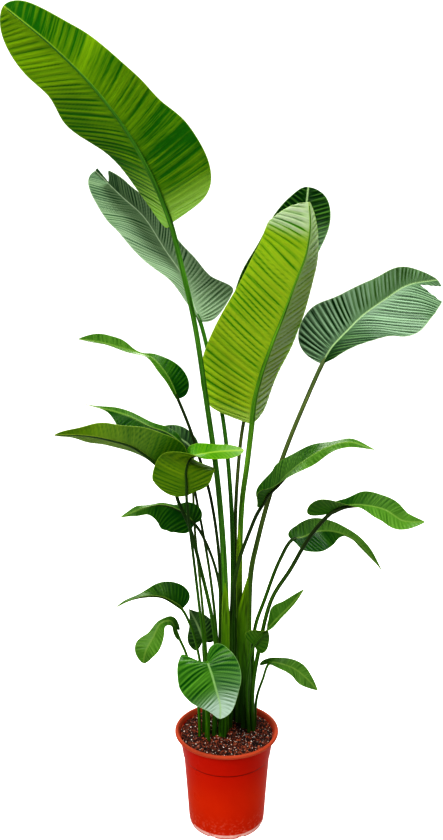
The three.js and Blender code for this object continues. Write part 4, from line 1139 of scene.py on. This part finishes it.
def stalk_object(item, petiole, rib, skins):
    line, radius, up, way = stalk_line(item, petiole, rib)
    edges = [(k, k + 1) for k in range(len(line) - 1)]
    stalk = new_object(item["name"] + "_stalk", line, (), edges, radius=radius, up=up, way=way)
    grow(stalk, STALK, sides=16, channel=0.3, material=skins[2])
    shade_smooth(stalk)
    return stalk


def sheath_rings(sheath, across, out, step, crown):
    """Closed rings of the channel, from the foot to the tip."""
    keys = np.array(sheath["rows"], float)
    share = np.linspace(0, len(keys) - 1, SHEATH_RINGS) / (len(keys) - 1)
    rings = []
    for x, y, z, width in np.stack([along(keys[:, k], share) for k in range(4)], -1):
        width = max(width, SHEATH_TIP)
        base = np.array([x, y, z]) + np.outer(width * step, across)
        bulge = SHEATH_CROWN * width * crown
        outer = base + np.outer(bulge, out)
        inner = base + np.outer(bulge - SHEATH_EDGE - SHEATH_MIDDLE * crown, out)
        rings.append(np.vstack([outer, inner[::-1]]))
    return np.stack(rings)


def sheath_object(item):
    out = unit([*item["sheath"]["out"], 0])
    across = np.array([-out[1], out[0], 0])
    step = np.linspace(-1, 1, SHEATH_COLUMNS)
    crown = 1 - step**2
    rings = sheath_rings(item["sheath"], across, out, step, crown)
    rows, count = rings.shape[:2]
    faces = []
    for row in range(rows - 1):
        for k in range(count):
            a, b = row * count + k, row * count + (k + 1) % count
            faces.append((a, a + count, b + count, b))
    faces.append(tuple(range(count)))
    faces.append(tuple(range(rows * count - 1, (rows - 1) * count - 1, -1)))
    points = rings.reshape(-1, 3)
    ring_place = np.stack([np.r_[step, step[::-1]], np.r_[crown, crown], np.zeros(count)], -1)
    sheath = new_object(item["name"] + "_sheath", points, faces,
                        way=points[:, 2] - STEM_FOOT, round=np.tile(ring_place, (rows, 1)))
    sheath.data.materials.append(SHEATH_SKIN)
    shade_smooth(sheath)
    fix_outside(sheath)
    return sheath


print("leaves with a sheath:", sum("sheath" in item for item in LEAVES))

# %% [markdown]
# Now the whole table is built. A leaf grew as one thing, so its parts are joined into one piece, which
# stands for the CAD leaf and rides where it does.

# %% Build the leaves
for number, item in enumerate(LEAVES):
    petiole, rib = leaf_paths(item)
    skins = SKINS[item["look"]]
    parts = [blade_object(item, rib, skins, number), stalk_object(item, petiole, rib, skins)]
    if "sheath" in item:
        parts.append(sheath_object(item))
    piece = joined(*parts)
    piece.name = item["name"].replace("leaf_", "grown_")
    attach(piece, "root")
    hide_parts(item["name"])
    print(piece.name, len(piece.data.polygons), "faces")

# %% [markdown]
# ## The pot
#
# A moulded nursery pot is a turned shape: foot ring, tapered wall, a small step where the collar
# starts, and a rolled rim. It could be a cylinder with loop cuts, but its one profile holds every
# size, so the profile is spun about the axis. Its corners are cut to arcs first, as a mould's are,
# so that they catch a highlight. An arc takes less than half of the shorter side at its corner, so
# that two arcs never meet.

# %% Pot wall
POT_HEIGHT = 226
RIM_RADIUS = 120
FOOT_RADIUS = 87
WALL = 2.6
COLLAR_BOTTOM = 166
BODY_TOP_RADIUS = 99.5
COLLAR_TOP_RADIUS = 109.5
LIP_BOTTOM = 217
STEP_OUT = 1.6


def wall_radius(z):
    """The wall's outer radius at a height, below the rim's lip."""
    if z < COLLAR_BOTTOM:
        return FOOT_RADIUS + (BODY_TOP_RADIUS - FOOT_RADIUS) * z / COLLAR_BOTTOM
    share = (z - COLLAR_BOTTOM) / (LIP_BOTTOM - COLLAR_BOTTOM)
    return BODY_TOP_RADIUS + STEP_OUT + (COLLAR_TOP_RADIUS - BODY_TOP_RADIUS - STEP_OUT) * share


print("wall radius in mm at half height:", round(wall_radius(POT_HEIGHT / 2), 1))

# %% Turned shapes
ARC_POINTS = 4
ARC_SPACING = 2.2


def rounded(profile, radius):
    """The same profile with each corner cut to an arc, so that it catches a highlight."""
    profile = [np.asarray(p, float) for p in profile]
    made = [profile[0]]
    for before, corner, after in zip(profile, profile[1:], profile[2:]):
        shorter = min(np.linalg.norm(corner - before), np.linalg.norm(after - corner))
        reach = min(radius, shorter / ARC_SPACING)
        a = corner + unit(before - corner) * reach
        b = corner + unit(after - corner) * reach
        for t in np.linspace(0, 1, ARC_POINTS):
            made.append((1 - t) ** 2 * a + 2 * t * (1 - t) * corner + t**2 * b)
    return np.array([*made, profile[-1]])


def spun(name, profile, sides):
    """A closed surface turned about the axis, from a profile that starts and ends on it."""
    turn = np.linspace(0, 2 * np.pi, sides, endpoint=False)
    ring = np.stack([np.cos(turn), np.sin(turn)], -1)
    middle = profile[1:-1]
    points = [np.concatenate([r * ring, np.full((sides, 1), z)], 1) for r, z in middle]
    points = np.vstack([*points, [[0, 0, profile[0][1]]], [[0, 0, profile[-1][1]]]])
    faces = []
    for row in range(len(middle) - 1):
        for k in range(sides):
            a, b = row * sides + k, row * sides + (k + 1) % sides
            faces.append((a, b, b + sides, a + sides))
    last = (len(middle) - 1) * sides
    first_pole, last_pole = len(points) - 2, len(points) - 1
    for k in range(sides):
        faces.append(((k + 1) % sides, k, first_pole))
        faces.append((last + k, last + (k + 1) % sides, last_pole))
    return new_object(name, points, faces)


print("turned shapes ready")

# %% [markdown]
# The profile goes out along the underside, up the outside, over the rim, down the inside and back
# to the axis along the floor.

# %% Pot profile
POT_AROUND = 160
FLOOR_TOP = 7
CORNER = 2.2
UNDERSIDE = [(0, 0), (24, 0), (26, 4), (79, 4), (80, 0), (87, 0)]
OUTSIDE = [
    (wall_radius(12) + 0.6, 12),
    (wall_radius(90), 90),
    (BODY_TOP_RADIUS, COLLAR_BOTTOM - 1.5),
    (wall_radius(COLLAR_BOTTOM), COLLAR_BOTTOM),
    (wall_radius(215), 215),
]
RIM = [
    (RIM_RADIUS - 2.5, LIP_BOTTOM),
    (RIM_RADIUS, LIP_BOTTOM + 3),
    (RIM_RADIUS - 0.4, POT_HEIGHT - 2),
    (RIM_RADIUS - 3, POT_HEIGHT),
    (RIM_RADIUS - 7, POT_HEIGHT - 0.8),
    (RIM_RADIUS - 9.5, POT_HEIGHT - 4),
]
INSIDE = [
    (wall_radius(213) - WALL, 213),
    (wall_radius(COLLAR_BOTTOM + 1) - WALL, COLLAR_BOTTOM + 1),
    (wall_radius(163) - WALL, 163),
    (wall_radius(10) - WALL, 10),
    (wall_radius(FLOOR_TOP) - WALL - 3, FLOOR_TOP),
    (0, FLOOR_TOP),
]
POT_PROFILE = UNDERSIDE + OUTSIDE + RIM + INSIDE
print("pot profile points:", len(POT_PROFILE))

# %% [markdown]
# The drainage holes and the notches of the foot ring repeat round the axis. Eight of each could be
# cut by hand, but a tree with their counts and sizes as inputs is easier to change: it places the
# cutters on a circle, and a Boolean takes them away.

# %% Pot tree
DRILL_SIDES = 20
DRILL_LENGTH = 12
DRILL_HEIGHT = 4
BITE_LENGTH = 35


def pot_tree():
    tree, start, size = open_tree("pot_cuts", holes=8, hole_radius=5.0, hole_circle=56.0, notches=8,
                                  notch_width=15.0, notch_height=3.5, foot_radius=87.0)
    cutters = []
    drill = start.add("GeometryNodeMeshCylinder", None,
                      {"Vertices": DRILL_SIDES, "Radius": size["hole_radius"] * MM,
                       "Depth": DRILL_LENGTH * MM})
    bite_size = combine(BITE_LENGTH * MM, size["notch_width"] * MM, size["notch_height"] * 2 * MM)
    bite = start.add("GeometryNodeMeshCube", None, {"Size": bite_size})
    for tool, count, circle, height in ((drill, "holes", "hole_circle", DRILL_HEIGHT * MM),
                                        (bite, "notches", "foot_radius", 0.0)):
        index = start.add("GeometryNodeInputIndex")
        angle = (index + 0.5) * math.tau / size[count]
        points = start.add("GeometryNodePoints", None, {
            "Count": size[count],
            "Position": combine(angle.math("COSINE", angle) * size[circle] * MM,
                                angle.math("SINE", angle) * size[circle] * MM, height),
        })
        turned = start.add("GeometryNodeInstanceOnPoints", None,
                           {"Points": points, "Instance": tool, "Rotation": combine(0.0, 0.0, angle)})
        cutters.append(start.add("GeometryNodeRealizeInstances", None, {0: turned}))
    body = size["Geometry"]
    for cutter in cutters:
        body = start.add("GeometryNodeMeshBoolean", {"operation": "DIFFERENCE", "solver": "EXACT"},
                         {"Mesh 1": body, "Mesh 2": cutter})
    return close_tree(tree, body, size)


POT_CUTS = pot_tree()
print("pot tree inputs:", [i.name for i in POT_CUTS.interface.items_tree if i.in_out == "INPUT"])

# %% [markdown]
# The plastic is orange-red. Low down it is painted more orange, as light from the floor, and it is
# redder at the collar. The rim is painted a lighter, pinker orange as a highlight, a painted shadow lies
# as a dark line under the collar's step, and there are whitish marks round the foot. All of that follows
# the height, so bands of height do it, broken up by noise. Each band is a pair of heights in metres
# between which it fades in or out.

# %% Pot material
# Bands by height: painted floor light, painted rim highlight, painted step shadow, and whitish marks and
# specks near the foot.
PAINTED_FLOOR_LIGHT_FADE = (0.06, 0.2)
PAINTED_RIM_HIGHLIGHT = (0.214, 0.219)
PAINTED_STEP_SHADOW = (0.0004, 0.0028)
FOOT_MARKS_START = (0.002, 0.005)
FOOT_MARKS_END = (0.009, 0.013)
SPECKS_END = (0.0, 0.07)


def pot_plastic():
    material, output, start = new_material("pot_plastic")
    place = in_place(start)
    height = start.add("ShaderNodeSeparateXYZ", None, {0: place}, 2)
    from_step = height - (COLLAR_BOTTOM - 0.5) * MM
    from_step = from_step.math("ABSOLUTE", from_step)
    cloud = noise(place, 7.0, 3.0)
    speck = noise(place, 160.0, 2.0)
    colour = mix((cloud - 0.3).clamp(), paint(205, 54, 0), paint(184, 27, 0))
    # Painted floor light: more orange low down, redder higher up.
    colour = mix(height.smooth(*PAINTED_FLOOR_LIGHT_FADE) * 0.7, colour, paint(182, 10, 0))
    # Painted highlight: the rim is a lighter, pinker orange.
    colour = mix(height.smooth(*PAINTED_RIM_HIGHLIGHT), colour, paint(180, 80, 52))
    # Painted shadow: a dark line under the collar's step.
    colour = mix((1 - from_step.smooth(*PAINTED_STEP_SHADOW)) * 0.75, colour, paint(96, 6, 0))
    # Whitish marks in a band near the foot, and whitish specks low down.
    foot_band = height.smooth(*FOOT_MARKS_START) * (1 - height.smooth(*FOOT_MARKS_END))
    foot_marks = foot_band * noise(place, 42.0, 3.0, 0.7).smooth(0.36, 0.46) * 0.95
    low_specks = (1 - height.smooth(*SPECKS_END)) * (speck - 0.5).clamp() * 0.9
    whitish_marks = (foot_marks + low_specks).clamp()
    colour = mix(whitish_marks, colour, paint(244, 196, 186))
    surface(start, output, {
        "Base Color": colour,
        "Roughness": 0.3 + (cloud - 0.5) * 0.2 + whitish_marks * 0.3,
        "Specular IOR Level": 0.03,
        "Normal": bump(speck + cloud, 0.0004, 0.25),
    })
    return material


print("pot material ready")

# %% Build the pot
pot = spun("glossy_pot", rounded(POT_PROFILE, CORNER), POT_AROUND)
fix_outside(pot)
grow(pot, POT_CUTS, holes=8, notches=8, material=pot_plastic())
shade_smooth(pot)
pot.data.set_sharp_from_angle(angle=math.radians(35))
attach(pot, "root")
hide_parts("pot")
print("pot faces:", len(pot.data.polygons))

# %% [markdown]
# ## Potting mix
#
# Potting mix is dark peat with bark chips and white perlite, a little higher in the middle. The
# soil is a closed body that fills the pot, spun like it. Its top has the CAD model's own relief,
# with finer lumps on it.

# %% Soil body
SOIL_TOP = 216
SOIL_GAP = 0.4
SOIL_RINGS = 60
LUMPS = 0.45


def relief(x, y):
    return (1.2 * np.sin(x / 17 + 0.6) * np.cos(y / 14 - 0.3) + 0.8 * np.sin((x + y) / 8.5)
            + 2 * np.exp(-(x * x + y * y) / 4200))


def soil_object():
    def inside(z):
        return wall_radius(z) - WALL - SOIL_GAP

    bottom = FLOOR_TOP + SOIL_GAP
    top = inside(SOIL_TOP - 3)
    side = [(0, bottom), (inside(bottom) - 4, bottom), (inside(bottom + 6), bottom + 6),
            (inside(162), 162), (inside(164), 170), (top, SOIL_TOP - 3)]
    upper = [(top * share, SOIL_TOP) for share in np.linspace(0.985, 0.02, SOIL_RINGS)]
    soil = spun("potting_mix", np.array([*side, *upper, (0, SOIL_TOP)]), POT_AROUND)
    points = np.array([v.co for v in soil.data.vertices]) / MM
    lumps = np.random.default_rng(SEED).normal(size=(len(points),))
    on_top = points[:, 2] > SOIL_TOP - 1
    height = relief(points[:, 0], points[:, 1]) + LUMPS * lumps
    points[on_top, 2] += height[on_top]
    soil.data.vertices.foreach_set("co", (points * MM).ravel())
    return soil


soil = soil_object()
print("soil faces:", len(soil.data.polygons))

# %% [markdown]
# Thousands of grains lie on the soil. A particle system could scatter them, but its result is
# harder to keep and to repeat. A geometry tree puts points on the top faces and a rough
# little stone on each, turned and sized at random from a fixed seed. The points' density is
# `count` over the top's area in square metres. Each stone also gets a `tint` of its own, which its
# material reads.

# %% Scatter tree
TOP_AREA = 0.0345
ANY_TURN = (6.28, 6.28, 6.28)
FACING_UP = (0.2, 0.3)
NEAR_TOP = (0.2, 0.204)


def scatter_tree():
    tree, start, size = open_tree("scatter", count=100.0, small=2.0, large=4.0, flatness=0.7,
                                  length=1.0, seed=1)
    normal = start.add("GeometryNodeInputNormal")
    up = start.add("ShaderNodeSeparateXYZ", None, {0: normal}, 2)
    place = start.add("GeometryNodeInputPosition")
    level = start.add("ShaderNodeSeparateXYZ", None, {0: place}, 2)
    top = up.smooth(*FACING_UP) * level.smooth(*NEAR_TOP)
    points = start.add("GeometryNodeDistributePointsOnFaces", None,
                       {"Mesh": size["Geometry"], "Density": size["count"] * top / TOP_AREA,
                        "Seed": size["seed"]})
    ball = start.add("GeometryNodeMeshIcoSphere", None, {"Radius": 0.5, "Subdivisions": 1})
    rough = noise(place, 2.7, 1.0)
    dents = place.vector("MULTIPLY", place, combine(rough - 0.5, rough - 0.4, rough - 0.6))
    ball = start.add("GeometryNodeSetPosition", None, {"Geometry": ball, "Offset": dents})

    def pick(low, high, shift, kind="FLOAT"):
        """A random value for each grain. A Random Value node has its own sockets for each kind."""
        keys = (0, 1) if kind == "FLOAT_VECTOR" else (2, 3)
        out = 0 if kind == "FLOAT_VECTOR" else 1
        return start.add("FunctionNodeRandomValue", {"data_type": kind},
                         {keys[0]: low, keys[1]: high, "Seed": size["seed"] + shift}, out)

    turn = pick((0, 0, 0), ANY_TURN, 1, "FLOAT_VECTOR")
    span = pick(size["small"] * MM, size["large"] * MM, 2)
    shape = combine(span * size["length"], span, span * size["flatness"])
    stones = start.add("GeometryNodeInstanceOnPoints", None,
                       {"Points": points, "Instance": ball, "Rotation": turn, "Scale": shape})
    stones = start.add("GeometryNodeStoreNamedAttribute", {"domain": "INSTANCE"},
                       {"Geometry": stones, "Name": "tint", "Value": pick(0.0, 1.0, 3)})
    return close_tree(tree, stones, size)


SCATTER = scatter_tree()
print("scatter tree inputs:", [i.name for i in SCATTER.interface.items_tree if i.in_out == "INPUT"])

# %% [markdown]
# Peat, bark and perlite are all dry and crumbly, so one function makes the three. The colour
# changes inside a grain by fine noise, over the soil by broad noise, and from grain to grain by
# its tint.

# %% Soil materials
def crumb(name, low, high, rough, scale):
    material, output, start = new_material(name)
    place = in_place(start)
    grain = noise(place, scale, 3.0, 0.7)
    clump = noise(place, scale / 7, 2.0)
    tint = attribute(start, "tint")
    tone = ((grain - 0.5) * 1.4 + (clump - 0.5) * 1.2 + tint * tint * 1.2).clamp()
    surface(start, output, {
        "Base Color": mix(tone, paint(*low), paint(*high)),
        "Roughness": rough + (grain - 0.5) * 0.2,
        "Normal": bump(grain, 0.001, 0.8),
    })
    return material


EARTH = crumb("earth", (20, 6, 4), (128, 50, 30), 0.85, 420.0)
BARK = crumb("bark", (28, 7, 4), (184, 94, 58), 0.75, 300.0)
PERLITE = crumb("perlite", (200, 180, 166), (252, 246, 238), 0.8, 500.0)
print("soil materials ready")

# %% [markdown]
# The scatter tree runs on a copy of the soil for each kind of grain: flat long chips of bark, crumbs
# of peat and round perlite. All of it is joined, because potting mix is one node in the CAD model.

# %% Dress the soil
def grains(name, material, **sizes):
    """The grains of one kind, as their own object."""
    thing = bpy.data.objects.new(name, soil.data.copy())
    bpy.context.scene.collection.objects.link(thing)
    grow(thing, SCATTER, material=material, **sizes)
    return thing


bark = grains("bark_grains", BARK, count=2200.0, small=2.0, large=6.5,
              flatness=0.45, length=1.5, seed=11)
crumbs = grains("earth_grains", EARTH, count=2600.0, small=1.2, large=3.6,
                flatness=0.8, length=1.1, seed=23)
perlite = grains("perlite_grains", PERLITE, count=420.0, small=1.6, large=4.6,
                 flatness=0.85, length=1.1, seed=31)
soil.data.materials.append(EARTH)
soil = joined(soil, bark, crumbs, perlite)
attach(soil, "root")
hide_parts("soil")
print("soil with grains:", len(soil.data.polygons), "faces")

# %% [markdown]
# ## Studio
#
# The photograph is on plain white. A real sheet of white paper would turn grey away from the lamps,
# so the floor also glows where the camera sees it. That keeps it white, with only a faint shadow.

# %% Floor
FLOOR_REACH = 9000


def studio_floor():
    corners = [(x * FLOOR_REACH, y * FLOOR_REACH, 0) for x, y in ((-1, -1), (1, -1), (1, 1), (-1, 1))]
    floor = new_object("floor", corners, [(0, 1, 2, 3)])
    material, output, start = new_material("floor")
    fine = noise(in_place(start), 3.0)
    seen = start.add("ShaderNodeLightPath")
    surface(start, output, {
        "Base Color": mix(fine, (0.56, 0.56, 0.56), (0.6, 0.6, 0.6)),
        "Roughness": 0.9,
        "Emission Color": (1, 1, 1, 1),
        "Emission Strength": seen * 0.95,
    })
    floor.data.materials.append(material)


studio_floor()
print("floor ready")

# %% [markdown]
# Discs of soft light stand in for studio lamps. One in front and above models the leaves, one over
# the plant lights the upper sides, and one behind makes the young leaves glow.

# %% Lights
def soft_light(name, place, target, width, watts, colour):
    data = bpy.data.lights.new(name, "AREA")
    data.shape = "DISK"
    data.size = width
    data.energy = watts
    data.color = colour
    light = bpy.data.objects.new(name, data)
    light.location = place
    light.rotation_euler = (Vector(target) - Vector(place)).to_track_quat("-Z", "Y").to_euler()
    bpy.context.scene.collection.objects.link(light)


soft_light("front_light", (-1.4, -2.4, 3.0), (0, 0, 0.8), 1.6, 78, (1.0, 0.99, 0.97))
soft_light("top_light", (0.9, -0.4, 3.4), (0.1, 0, 1.0), 1.2, 60, (0.97, 0.99, 1.0))
soft_light("back_light", (-0.6, 2.6, 2.8), (0, 0, 1.2), 2.0, 60, (1.0, 1.0, 0.95))

# %% [markdown]
# The world is white where the camera sees it, but lights the plant with only a part of that, so
# that the lamps still model it. The Light Path node tells the two apart. The High Contrast look
# gives the colours the depth that they have in the photograph.

# %% World and colours
SKY_SEEN = 1.0
SKY_LIGHT = 0.28

world = bpy.data.worlds.new("studio")
world.use_nodes = True
background = world.node_tree.nodes["Background"]
background.inputs["Color"].default_value = (1, 1, 1, 1)
seen = Link(world.node_tree).add("ShaderNodeLightPath")
strength = seen * (SKY_SEEN - SKY_LIGHT) + SKY_LIGHT
world.node_tree.links.new(strength.socket, background.inputs["Strength"])
bpy.context.scene.world = world
bpy.context.scene.view_settings.view_transform = "Standard"
bpy.context.scene.view_settings.look = "High Contrast"
print("studio ready")
